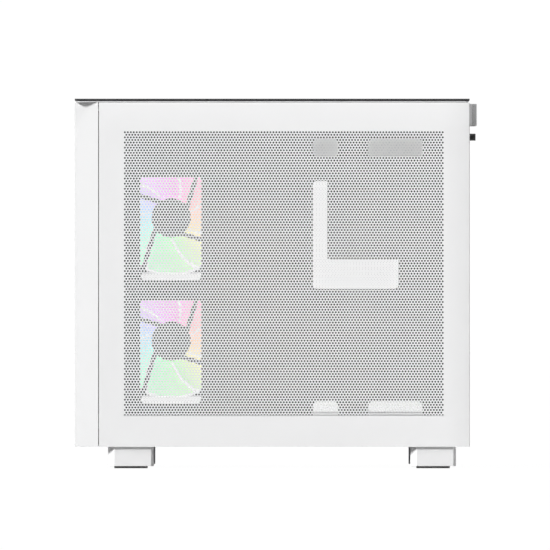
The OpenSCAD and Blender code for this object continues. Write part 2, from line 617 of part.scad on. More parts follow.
module slot_covers() color("white") {
    for (i = [2:6]) slab([board_x - 112, board_x + 2], [rear_in - 1, rear_in],
        [slot_z - i * slot_pitch - 9.2, slot_z - i * slot_pitch + 9.2]);
}
module standoffs() color("gold") {
    for (y = stand_y) for (z = stand_z) difference() {
        rod_x([board_x + board_t, tray_face], y, z, 3, $fn = 6);
        rod_x([board_x, tray_face - 1], y, z, 1.55);
    }
}
module board_screws() color("silver") {
    for (y = stand_y) for (z = stand_z) {
        rod_x([board_x - 2, board_x], y, z, 3.1);
        rod_x([board_x - 1, board_x + 6], y, z, 1.5);
    }
}

// ---------- front sockets and buttons ----------
module usb_shell(i, c, out) {
    z = reset_z - 30 - 24 * i;
    slab([io_x - 3.6 - c, io_x + 3.6 + c], [y_front + out + 0.4, io_board_y], [z - 7.2 - c, z + 7.2 + c]);
}
module usb_c_shell(c, out) {
    z = reset_z - 80;
    window_y([io_x - 1.8 - c, io_x + 1.8 + c], [y_front + out + 0.4, io_board_y], [z - 4.8 - c, z + 4.8 + c], 1.7);
}
module front_io_board() color("darkgreen") {
    slab([io_x - 14, io_x + 14], [io_board_y, io_board_y + 1.6], [reset_z - 122, power_z + 20]);
    for (z = [power_z, reset_z]) slab([io_x - 3, io_x + 3], [io_board_y - 1.2, io_board_y + eps], [z - 3, z + 3]);
    for (z = [reset_z - 116, power_z + 14]) rod_y(io_x, [io_board_y + 1.5, seam_y - 4.8], z, 3);
}
module front_io_ports() color("silver") {
    for (i = [0, 1]) difference() {
        usb_shell(i, 0, 0);
        translate([0, -1, 0]) intersection() {
            usb_shell(i, -0.4, 0);
            slab([-500, 500], [y_front - 5, y_front + 12], [-500, 1000]);
        }
    }
    difference() {
        usb_c_shell(0, 0);
        translate([0, -1, 0]) intersection() {
            usb_c_shell(-0.4, 0);
            slab([-500, 500], [y_front - 5, y_front + 8], [-500, 1000]);
        }
    }
    difference() {
        rod_y(io_x, [y_front + 0.4, io_board_y], reset_z - 106, 3.5);
        rod_y(io_x, [y_front - 1, y_front + 12], reset_z - 106, 1.8);
    }
}
module push_button(z, r) {
    tip = io_board_y - 1.2 - button_travel - 0.2;
    inside = y_front + cover_wall + 0.3;
    rod_y(io_x, [y_front + 0.2, inside + 0.5], z, r);
    rod_y(io_x, [inside, inside + 1.5], z, r + 1.4);
    rod_y(io_x, [inside + 1, tip], z, min(3, r - 0.5));
}
module power_button() color("white") push_button(power_z, power_r);
module reset_button() color("white") push_button(reset_z, reset_r);

// ---------- feet ----------
foot_y = [y_front + foot_front, y_rear - foot_rear - foot_l];
module foot(side, y) {
    x0 = side > 0 ? x_right - foot_out - foot_w : x_left + foot_out;
    c = foot_chamfer;
    t = foot_trim;
    translate([x0, y, pad_t]) linear_extrude(foot_h - pad_t)
        polygon([[c, 0], [foot_w - c, 0], [foot_w, c], [foot_w, foot_l - t], [foot_w - t, foot_l],
            [t, foot_l], [0, foot_l - t], [0, c]]);
}
module foot_front_left() color("white") foot(-1, foot_y[0]);
module foot_front_right() color("white") foot(1, foot_y[0]);
module foot_rear_left() color("white") foot(-1, foot_y[1]);
module foot_rear_right() color("white") foot(1, foot_y[1]);
module foot_pads() color("gray") {
    inset = max(foot_chamfer, foot_trim);
    for (x0 = [x_right - foot_out - foot_w, x_left + foot_out]) for (y = foot_y)
        window_z([x0 + inset, x0 + foot_w - inset], [y + inset, y + foot_l - inset], [0, pad_t], 4);
}

// ---------- panels that come off ----------
panel_y = [seam_y + gap, y_rear];
panel_z = [z_bot, z_top - glass_t - gap];
stud_y = [seam_y + 40, y_rear - 60];
module side_panel() color("white") {
    slab([x_right - sheet, x_right], panel_y, panel_z);
    slab([x_right - 13, x_right - sheet + eps], [panel_y[1] - sheet, panel_y[1]], panel_z);
    slab([x_right - 13, x_right - sheet + eps], panel_y, [panel_z[1] - sheet, panel_z[1]]);
}
module side_panel_studs() color("silver") {
    for (y = stud_y) for (z = [z_bot + 28, roof_z - 6]) {
        rod_x([frame_right - 6, x_right - sheet], y, z, stud_r);
    }
}
module left_glass() color([0.85, 0.9, 0.95, 0.4]) slab([x_left, x_left + glass_t], [y_front, y_rear], glass_z);
module left_glass_frame() color("white") {
    x = [x_left + glass_t, frame_left - gap];
    difference() {
        slab(x, [frame_front + 2, frame_rear - 2], [glass_z[0] + 1.5, glass_z[1] - 1.5]);
        window_x([x[0] - 1, x[1] + 1], [frame_front + 18, frame_rear - 18], [glass_z[0] + 18, glass_z[1] - 18], 4);
    }
    for (y = [y_front + 80, y_rear - 60]) for (z = [z_bot + 28, roof_z - 6])
        rod_x([x[1] - 1, frame_left + 5], y, z, stud_r);
}
module front_glass() color([0.85, 0.9, 0.95, 0.4]) {
    slab([x_left + glass_t + gap, tray_x], [y_front, y_front + glass_t], glass_z);
}
module front_glass_frame() color("white") {
    y = [y_front + glass_t, frame_front - gap];
    difference() {
        slab([frame_left, tray_x - 2], y, [glass_z[0] + 1.5, glass_z[1] - 1.5]);
        window_y([frame_left + 16, tray_x - 18], [y[0] - 1, y[1] + 1], [glass_z[0] + 18, glass_z[1] - 18], 4);
    }
    for (x = [x_left + 40, tray_x - 30]) for (z = [z_bot + 28, roof_z - 6])
        rod_y(x, [y[1] - 1, frame_front + 5], z, stud_r);
}
module top_glass() color([0.1, 0.1, 0.12, 0.8]) {
    window_z([x_left, x_right], [y_front, y_rear], [z_top - glass_t, z_top], 4);
}
module top_panel_frame() color("white") {
    x = [x_left + 20, x_right - 18];
    z = [roof_z + 0.3, z_top - glass_t];
    flange_z = z_top - 51;
    difference() {
        slab(x, [y_front + 15, frame_rear - 1], z);
        slab([x[0] + sheet, x[1] - sheet], [y_front + 15 + sheet, frame_rear - 1 - sheet], [z[0] - 1, z[1] - sheet]);
        slab([tray_x - 1, x_right], [y_front, seam_y + gap], [z[0] - 1, z[1] + 1]);
        window_z([frame_left + 22, tray_face - 20], [frame_front + 30, rear_in - 30], [z[1] - 3, z[1] + 1], 8);
        window_z([tray_x + 14, x[1] - 12], [seam_y + 40, rear_in - 40], [z[1] - 3, z[1] + 1], 8);
    }
    difference() {
        union() {
            slab([-tab_w / 2 - 8, tab_w / 2 + 8], [y_rear - sheet, y_rear], [flange_z, z[1]]);
            slab([-tab_w / 2 - 8, tab_w / 2 + 8], [frame_rear - 2.2, y_rear], [z[1] - sheet, z[1]]);
            translate([0, 0, z_top - 5 - tab_h]) linear_extrude(tab_h)
                polygon([[-tab_w / 2 - 4, y_rear - eps], [tab_w / 2 + 4, y_rear - eps], [tab_w / 2, y_rear + 3.5],
                    [tab_w / 2, y_rear + tab_proud], [-tab_w / 2, y_rear + tab_proud], [-tab_w / 2, y_rear + 3.5]]);
        }
        slab([-tab_w / 2 + 3, tab_w / 2 - 3], [y_rear, y_rear + tab_proud - 2.5],
            [z_top - 6 - tab_h, z_top - 5 - 3]);
        rod_y(0, [y_rear - 3, y_rear + 1], z_top - 42.7, 1.75 + run_fit);
    }
}
module top_thumbscrew() color("dimgray") {
    translate([0, y_rear, z_top - 42.7]) rotate([-90, 0, 0]) {
        translate([0, 0, 0.02]) cylinder(h = 1.5, r = screw_head_r - 0.8);
        translate([0, 0, 1.5]) cylinder(h = 6.7, r = screw_head_r);
        translate([0, 0, -7]) cylinder(h = 8, r = 1.75);
    }
}

// ---------- drives ----------
module drive_tray(i) {
    x0 = bay_x(i) + 0.4;
    x1 = x0 + bay_w - 0.8;
    z = [cage_z + sheet + 0.4, cage_z + cage_h - sheet - 0.4];
    y = [cage_y + 0.5, rear_in - sheet - 0.5];
    slab([x0, x0 + 1.6], y, z);
    for (zz = [z[0], z[1] - 1.5]) slab([x0, x1], y, [zz, zz + 1.5]);
    difference() {
        slab([x0, x1], [cage_y - 3.5, cage_y + 1], z);
        slab([x0 + 6, x1 - 6], [cage_y - 4, cage_y + 2], [z[0] + 30, z[1] - 30]);
    }
}
module hard_drive(i) {
    x0 = bay_x(i) + 2;
    mid = cage_z + cage_h / 2;
    slab([x0, x0 + drive[0]], [cage_y + 1, cage_y + 1 + min(drive[1], cage_l - sheet - 2)],
        [mid - drive[2] / 2, mid + drive[2] / 2]);
}
module drive_tray_inner() color("white") drive_tray(0);
module drive_tray_outer() color("white") drive_tray(1);
module hard_drive_inner() color("silver") hard_drive(0);
module hard_drive_outer() color("silver") hard_drive(1);

module bottom_filter() color("white") {
    difference() {
        slab(filter_x, [y_front, y_front + filter_l], [z_bot, z_bot + filter_h]);
        for (i = [0:3]) window_z([filter_x[0] + 8, filter_x[1] - 8],
            [y_front + 22 + 84 * i, y_front + 96 + 84 * i], [z_bot + 1, z_bot + filter_h + 1], 6);
        window_z([-60, 16], [y_front + 4, y_front + 14], [z_bot - 1, z_bot + 2.5], 4);
    }
}

base_frame();
top_frame();
rear_panel();
front_frame();
corner_cover();
motherboard_tray();
fan_bracket();
drive_plate();
drive_cage();
supply_bracket();
supply_case();
supply_circuit();
supply_fan_frame();
supply_inlet();
upper_fan_frame();
lower_fan_frame();
rear_fan_frame();
motherboard();
io_shield();
io_ports();
processor();
heatsink();
cooler_fan_frame();
memory_modules();
graphics_board();
graphics_shroud();
slot_covers();
standoffs();
board_screws();
front_io_board();
front_io_ports();
foot_front_left();
foot_front_right();
foot_rear_left();
foot_rear_right();
foot_pads();
side_panel();
side_panel_studs();
left_glass();
left_glass_frame();
front_glass();
front_glass_frame();
top_glass();
top_panel_frame();
top_thumbscrew();
upper_fan_rotor();
lower_fan_rotor();
rear_fan_rotor();
cooler_fan_rotor();
supply_fan_rotor();
graphics_rotor_front();
graphics_rotor_rear();
power_button();
reset_button();
supply_switch();
drive_tray_inner();
drive_tray_outer();
hard_drive_inner();
hard_drive_outer();
bottom_filter();
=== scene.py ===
"""A two-chamber desktop computer tower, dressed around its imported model.

The perforated side faces +X, the front faces -Y and +Z is up. All sizes are in metres.
"""

from __future__ import annotations

import json
import logging
import math
from dataclasses import dataclass, field
from enum import Enum
from typing import Callable, Iterable

import bmesh
import bpy
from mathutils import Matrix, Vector


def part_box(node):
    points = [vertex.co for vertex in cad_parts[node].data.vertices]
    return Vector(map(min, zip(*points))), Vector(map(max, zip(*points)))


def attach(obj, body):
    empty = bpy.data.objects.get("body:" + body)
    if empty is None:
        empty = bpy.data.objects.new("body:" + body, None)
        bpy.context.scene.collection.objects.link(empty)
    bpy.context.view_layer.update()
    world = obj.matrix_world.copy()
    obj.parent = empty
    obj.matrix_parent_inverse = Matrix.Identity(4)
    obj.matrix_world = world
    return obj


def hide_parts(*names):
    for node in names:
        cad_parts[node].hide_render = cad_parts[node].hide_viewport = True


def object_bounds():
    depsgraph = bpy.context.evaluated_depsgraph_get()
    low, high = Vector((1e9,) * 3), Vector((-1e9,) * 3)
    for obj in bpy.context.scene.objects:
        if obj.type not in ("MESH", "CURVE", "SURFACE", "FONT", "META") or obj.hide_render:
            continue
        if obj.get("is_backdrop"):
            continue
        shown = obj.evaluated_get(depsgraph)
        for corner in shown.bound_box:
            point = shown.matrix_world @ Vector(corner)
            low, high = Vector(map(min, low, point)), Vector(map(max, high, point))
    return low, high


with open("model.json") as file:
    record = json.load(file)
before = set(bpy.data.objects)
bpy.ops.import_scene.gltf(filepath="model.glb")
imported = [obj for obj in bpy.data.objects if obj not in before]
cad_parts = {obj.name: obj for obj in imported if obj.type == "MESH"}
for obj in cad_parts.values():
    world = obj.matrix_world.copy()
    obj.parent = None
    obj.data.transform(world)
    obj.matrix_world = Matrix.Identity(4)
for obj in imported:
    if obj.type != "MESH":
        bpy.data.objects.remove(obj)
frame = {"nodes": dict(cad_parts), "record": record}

log = logging.getLogger("tower")
MM = 0.001
Colour = tuple[float, float, float]
Point = tuple[float, float, float]


# --------------------------------------------------------------------------- shader maths
class Wire:
    """One output of a shader's nodes, on which arithmetic adds Math nodes."""

    def __init__(self, shader: "Shader", socket: bpy.types.NodeSocket) -> None:
        """Keeps the socket and the shader that it belongs to."""
        self.shader = shader
        self.socket = socket

    def math(self, operation: str, *others: "Wire | float") -> "Wire":
        """Adds one Math node.

        Args:
            operation: The Math node's operation.
            others: Its second and third values.

        Returns:
            The node's result.
        """
        values = {i: v for i, v in enumerate((self, *others))}
        return self.shader.node("ShaderNodeMath", {"operation": operation}, values)

    def __add__(self, other: "Wire | float") -> "Wire":
        """Returns self + other."""
        return self.math("ADD", other)

    def __sub__(self, other: "Wire | float") -> "Wire":
        """Returns self - other."""
        return self.math("SUBTRACT", other)

    def __mul__(self, other: "Wire | float") -> "Wire":
        """Returns self * other."""
        return self.math("MULTIPLY", other)

    def __truediv__(self, other: "Wire | float") -> "Wire":
        """Returns self / other."""
        return self.math("DIVIDE", other)

    def __mod__(self, other: "Wire | float") -> "Wire":
        """Returns self modulo other, never negative."""
        return self.math("FLOORED_MODULO", other)

    def __lt__(self, other: "Wire | float") -> "Wire":
        """Returns 1 where self < other, else 0."""
        return self.math("LESS_THAN", other)

    def __gt__(self, other: "Wire | float") -> "Wire":
        """Returns 1 where self > other, else 0."""
        return self.math("GREATER_THAN", other)

    def __abs__(self) -> "Wire":
        """Returns the size of self without its sign."""
        return self.math("ABSOLUTE")

    def __rsub__(self, other: float) -> "Wire":
        """Returns other - self."""
        return self.math("MULTIPLY_ADD", -1.0, other)

    __radd__ = __add__
    __rmul__ = __mul__


class Shader:
    """A material's nodes, from one Principled surface outwards."""

    def __init__(self, name: str) -> None:
        """Makes an empty material of that name."""
        self.material = bpy.data.materials.new(name)
        self.material.use_nodes = True
        self.tree = self.material.node_tree
        self.tree.nodes.clear()
        self.place = self.node("ShaderNodeTexCoord", output="Object")

    def node(
        self,
        kind: str,
        settings: dict[str, object] | None = None,
        values: dict[str | int, "Wire | float | Colour"] | None = None,
        output: str | int = 0,
    ) -> Wire:
        """Adds one node.

        Args:
            kind: The node's type.
            settings: Its own settings, and a ramp's stops under "stops".
            values: What each input socket holds or is linked to.
            output: The output that is wanted.

        Returns:
            That output.
        """
        node = self.tree.nodes.new(kind)
        for key, value in (settings or {}).items():
            if key == "stops":
                self._stops(node.color_ramp, value)
            else:
                setattr(node, key, value)
        for key, value in (values or {}).items():
            if isinstance(value, Wire):
                self.tree.links.new(value.socket, node.inputs[key])
            else:
                node.inputs[key].default_value = value
        return Wire(self, node.outputs[output])

    @staticmethod
    def _stops(ramp: bpy.types.ColorRamp, stops: Iterable[tuple[float, Colour]]) -> None:
        """Sets a colour ramp's stops."""
        stops = list(stops)
        while len(ramp.elements) < len(stops):
            ramp.elements.new(1.0)
        for element, (at, colour) in zip(ramp.elements, stops):
            element.position = at
            element.color = (*colour, 1.0)

    def noise(self, scale: float, detail: float = 2.0, at: Wire | None = None) -> Wire:
        """Returns noise of that many features a metre, from 0 to 1."""
        values = {"Vector": at or self.place, "Scale": scale, "Detail": detail}
        return self.node("ShaderNodeTexNoise", {}, values)

    def axes(self, at: Wire | None = None) -> tuple[Wire, Wire, Wire]:
        """Returns the X, Y and Z of a place."""
        split = self.node("ShaderNodeSeparateXYZ", {}, {0: at or self.place})
        outputs = split.socket.node.outputs
        return tuple(Wire(self, outputs[i]) for i in range(3))

    def mix(self, share: Wire, a: Colour | Wire, b: Colour | Wire) -> Wire:
        """Returns colour a where share is 0 and b where it is 1."""
        a = a if isinstance(a, Wire) else (*a, 1.0)
        b = b if isinstance(b, Wire) else (*b, 1.0)
        return self.node("ShaderNodeMix", {"data_type": "RGBA"}, {0: share, 6: a, 7: b}, output=2)

    def bump(self, height: Wire, distance: float, strength: float = 1.0) -> Wire:
        """Returns a normal that follows a height, whose full range is that distance."""
        return self.node("ShaderNodeBump", {}, {"Height": height, "Distance": distance, "Strength": strength})

    def surface(self, **sockets: "Wire | float | Colour") -> bpy.types.Material:
        """Adds the Principled surface and the output.

        Args:
            sockets: The surface's inputs, with _ for a space.

        Returns:
            The finished material.
        """
        values = {}
        for key, value in sockets.items():
            is_colour = isinstance(value, tuple) and len(value) == 3
            values[key.replace("_", " ")] = (*value, 1.0) if is_colour else value
        bsdf = self.node("ShaderNodeBsdfPrincipled", {}, values)
        self.node_output(bsdf)
        return self.material

    def node_output(self, closure: Wire) -> None:
        """Links a closure to the material's output."""
        out = self.tree.nodes.new("ShaderNodeOutputMaterial")
        self.tree.links.new(closure.socket, out.inputs[0])


# --------------------------------------------------------------------------- finishes
@dataclass(frozen=True)
class ChamberShade:
    """Painted shade behind the perforated side: surfaces there that little light reaches get a darker base
    colour.
    """

    near: float = 0.0275
    far: float = 0.1415
    reach: float = 0.3
    darkest: float = 0.04
    lowest: float = 0.027

    def over(self, s: Shader, coat: Wire, colour: Colour) -> Wire:
        """Returns a coat's colour with the painted shade over it.

        Args:
            s: The material's nodes.
            coat: The coat's own colour.
            colour: The same, as plain numbers.

        Returns:
            The colour to paint with.
        """
        x, _, z = s.axes()
        bend_x = s.axes(s.node("ShaderNodeNewGeometry", output="Normal"))[0]
        behind = (x > self.near) * (x < self.far) * (z > self.lowest)
        inside = behind * ((bend_x > 0.3) + (x > 0.0535)).math("MINIMUM", 1.0)
        unshaded = s.node("ShaderNodeAmbientOcclusion", {"samples": 6}, {"Distance": self.reach}, output="AO")
        lit = s.node("ShaderNodeMapRange", {}, {"Value": unshaded, "From Min": 0.3, "From Max": 0.62})
        # painted shade: the base colour darkens towards 0.04 of itself where ambient occlusion finds the
        # chamber closed in
        return s.mix(inside * (1.0 - lit), coat, tuple(c * self.darkest for c in colour))


@dataclass(frozen=True)
class PowderCoat:
    """White powder coat on steel, with its fine orange peel and, unless shade is None, painted shade behind the
    perforated side.
    """

    name: str = "white_powder_coat_painted_shade"
    colour: Colour = (0.86, 0.86, 0.862)
    roughness: float = 0.42
    peel: float = 900.0
    shade: ChamberShade | None = ChamberShade()

    def material(self) -> bpy.types.Material:
        """Returns the coat as a material."""
        s = Shader(self.name)
        coat = s.mix(s.noise(14.0, 3.0), tuple(c * 0.975 for c in self.colour), self.colour)
        return s.surface(
            # painted shade from ChamberShade behind the perforated side
            Base_Color=self.shade.over(s, coat, self.colour) if self.shade else coat,
            Roughness=s.noise(60.0) * 0.08 + (self.roughness - 0.04),
            Normal=s.bump(s.noise(self.peel), 0.00004, 0.35),
            Specular_IOR_Level=0.35,
        )


@dataclass(frozen=True)
class Moulded:
    """A moulded plastic, with the faint grain of its tool and, when given a shade, painted shade behind the
    perforated side.
    """

    name: str
    colour: Colour
    roughness: float = 0.45
    grain: float = 2600.0
    depth: float = 0.00002
    shade: ChamberShade | None = None

    def material(self) -> bpy.types.Material:
        """Returns the plastic as a material."""
        s = Shader(self.name)
        coat = s.mix(s.noise(35.0), tuple(c * 0.94 for c in self.colour), self.colour)
        return s.surface(
            # painted shade, when the plastic is given one
            Base_Color=self.shade.over(s, coat, self.colour) if self.shade else coat,
            Roughness=s.noise(120.0) * 0.1 + (self.roughness - 0.05),
            Normal=s.bump(s.noise(self.grain), self.depth, 0.5),
        )


@dataclass(frozen=True)
class SolderMask:
    """A circuit board's mask, with the raised lines of its copper tracks."""

    name: str
    colour: Colour
    track: Colour

    def material(self) -> bpy.types.Material:
        """Returns the mask as a material."""
        s = Shader(self.name)
        x, y, z = s.axes()
        along = abs((y + z) % 0.0042 - 0.0021) < 0.00035
        across = abs((y - z) % 0.0057 - 0.00285) < 0.00035
        where = s.noise(28.0, 0.0) > 0.52
        tracks = (along + across).math("MINIMUM", 1.0) * where
        return s.surface(
            Base_Color=s.mix(tracks, self.colour, self.track),
            Roughness=s.noise(90.0) * 0.08 + 0.3,
            Normal=s.bump(tracks, 0.00004, 0.6),
        )


@dataclass(frozen=True)
class Metal:
    """A bare or plated metal with a fine brushed or cast surface."""

    name: str
    colour: Colour
    roughness: float
    brush: Point = (60.0, 900.0, 900.0)

    def material(self) -> bpy.types.Material:
        """Returns the metal as a material."""
        s = Shader(self.name)
        at = s.node("ShaderNodeMapping", {}, {"Vector": s.place, "Scale": self.brush})
        lines = s.noise(1.0, 3.0, at)
        dim = tuple(c * 0.82 for c in self.colour)
        return s.surface(
            Base_Color=s.mix(lines, dim, self.colour),
            Metallic=1.0,
            Roughness=lines * 0.16 + (self.roughness - 0.08),
            Normal=s.bump(lines, 0.00002, 0.4),
        )


@dataclass(frozen=True)
class Pane:
    """A tempered glass pane."""

    name: str
    colour: Colour
    alpha: float
    roughness: float = 0.03

    def material(self) -> bpy.types.Material:
        """Returns the glass as a material."""
        s = Shader(self.name)
        smears = s.noise(9.0, 4.0)
        return s.surface(
            Base_Color=s.mix(smears, self.colour, tuple(c * 0.96 for c in self.colour)),
            Roughness=smears * 0.03 + self.roughness,
            Alpha=self.alpha,
            IOR=1.5,
        )


@dataclass(frozen=True)
class LitBlades:
    """Frosted blades with a ring of coloured lights behind them, so that the hue goes round with the angle."""

    name: str
    centre: Point
    axis: str
    strength: float = 0.9
    pallor: float = 0.24
    hues: tuple[tuple[float, Colour], ...] = (
        (0.00, (1.00, 0.52, 0.22)),
        (0.10, (0.98, 0.80, 0.22)),
        (0.20, (0.35, 0.95, 0.25)),
        (0.32, (0.20, 0.95, 0.40)),
        (0.45, (0.25, 0.85, 0.90)),
        (0.56, (0.35, 0.52, 1.00)),
        (0.66, (0.85, 0.28, 1.00)),
        (0.78, (1.00, 0.12, 0.80)),
        (0.90, (1.00, 0.30, 0.38)),
        (1.00, (1.00, 0.52, 0.22)),
    )

    def material(self) -> bpy.types.Material:
        """Returns the blades' plastic as a material."""
        s = Shader(self.name)
        x, y, z = s.axes()
        if self.axis == "X":
            right, up = y - self.centre[1], z - self.centre[2]
        elif self.axis == "Y":
            right, up = x - self.centre[0], z - self.centre[2]
        else:
            right, up = x - self.centre[0], y - self.centre[1]
        # the share of a turn, clockwise from the right-hand side as it is seen from +X
        turn = (up * -1.0).math("ARCTAN2", right) / (2 * math.pi) % 1.0
        hue = s.node("ShaderNodeValToRGB", {"stops": self.hues}, {0: turn})
        radius = (right * right + up * up).math("SQRT")
        rim = {"Value": radius, "From Min": 0.02, "From Max": 0.066, "To Min": 1.0, "To Max": 0.8}
        fade = s.node("ShaderNodeMapRange", {}, rim)
        pastel = s.mix(fade * (1.0 - self.pallor), (1.0, 1.0, 1.0), hue)
        return s.surface(
            Base_Color=s.mix(fade * 0.25, (0.03, 0.03, 0.03), hue),
            Roughness=s.noise(200.0) * 0.08 + 0.36,
            Emission_Color=pastel,
            Emission_Strength=self.strength,
        )


@dataclass(frozen=True)
class Glow:
    """A white surface that glows: on the memory's light bars a lit diffuser, elsewhere painted light standing
    in for light that falls on a plate.
    """

    name: str
    colour: Colour
    strength: float

    def material(self) -> bpy.types.Material:
        """Returns the glowing surface as a material."""
        s = Shader(self.name)
        clouds = s.noise(20.0)
        return s.surface(
            Base_Color=s.mix(clouds, (0.82, 0.82, 0.83), (0.88, 0.88, 0.88)),
            Roughness=clouds * 0.1 + 0.4,
            Emission_Color=s.mix(clouds, self.colour, tuple(c * 0.97 for c in self.colour)),
            Emission_Strength=self.strength,
        )


class Palette:
    """Every shared finish, made once and found by its record slot."""

    def __init__(self) -> None:
        """Makes the materials."""
        self.slots: dict[str, bpy.types.Material] = {
            # white_steel and white_plastic carry painted shade behind the perforated side
            "white_steel": PowderCoat().material(),
            "white_plastic": Moulded("white_moulding_painted_shade", (0.85, 0.85, 0.853), shade=ChamberShade()).material(),
            "white_board": SolderMask("white_solder_mask", (0.8, 0.8, 0.81), (0.66, 0.67, 0.7)).material(),
            "dark_board": SolderMask("dark_solder_mask", (0.012, 0.02, 0.018), (0.03, 0.05, 0.045)).material(),
            "dark_plastic": Moulded("black_moulded_plastic", (0.02, 0.02, 0.021), 0.5).material(),
            "lit_blades": Moulded("frosted_blade", (0.88, 0.88, 0.9), 0.4).material(),
            "clear_glass": Pane("clear_tempered_glass", (0.9, 0.95, 0.94), 0.14).material(),
            "smoked_glass": Pane("smoked_tempered_glass", (0.05, 0.05, 0.053), 0.93, 0.05).material(),
            "bare_steel": Metal("nickel_plate", (0.62, 0.62, 0.63), 0.3).material(),
            "dark_steel": Metal("black_nickel", (0.2, 0.2, 0.205), 0.36, (900.0, 120.0, 900.0)).material(),
            "brass": Metal("bright_brass", (0.8, 0.6, 0.25), 0.25).material(),
            "aluminium": Metal("plain_aluminium", (0.82, 0.82, 0.84), 0.32).material(),
            "rubber": Moulded("grey_rubber", (0.6, 0.6, 0.6), 0.8, 1800.0, 0.00005).material(),
        }
        self.gold = Metal("gold_contacts", (0.95, 0.7, 0.3), 0.22).material()
        self.light_bar = Glow("light_bar", (1.0, 0.98, 1.0), 1.1).material()
        # painted light: a glow that stands in for light falling on the board's back plate and on the strips
        # under the fans
        self.painted_glow_plate = Glow("painted_light_plate", (1.0, 1.0, 1.0), 0.8).material()
        self.filter_cloth = Moulded("filter_cloth", (0.78, 0.78, 0.78), 0.9, 1500.0, 0.0001).material()
        # painted shade: a darker copy of the white powder coat for the corner cover, so that it comes out no
        # brighter than the side under the key light
        self.shaded_strip_coat = PowderCoat("strip_powder_coat_painted_shade", (0.66, 0.66, 0.662), shade=None).material()
        self.foot_plastic = Moulded("foot_plastic", (0.85, 0.85, 0.852), 0.5).material()
        self.print_band = Moulded("white_glass_print", (0.83, 0.83, 0.84), 0.25, 400.0, 0.00001).material()

    def of(self, slot: str) -> bpy.types.Material:
        """Returns the material of a record slot."""
        return self.slots[slot]


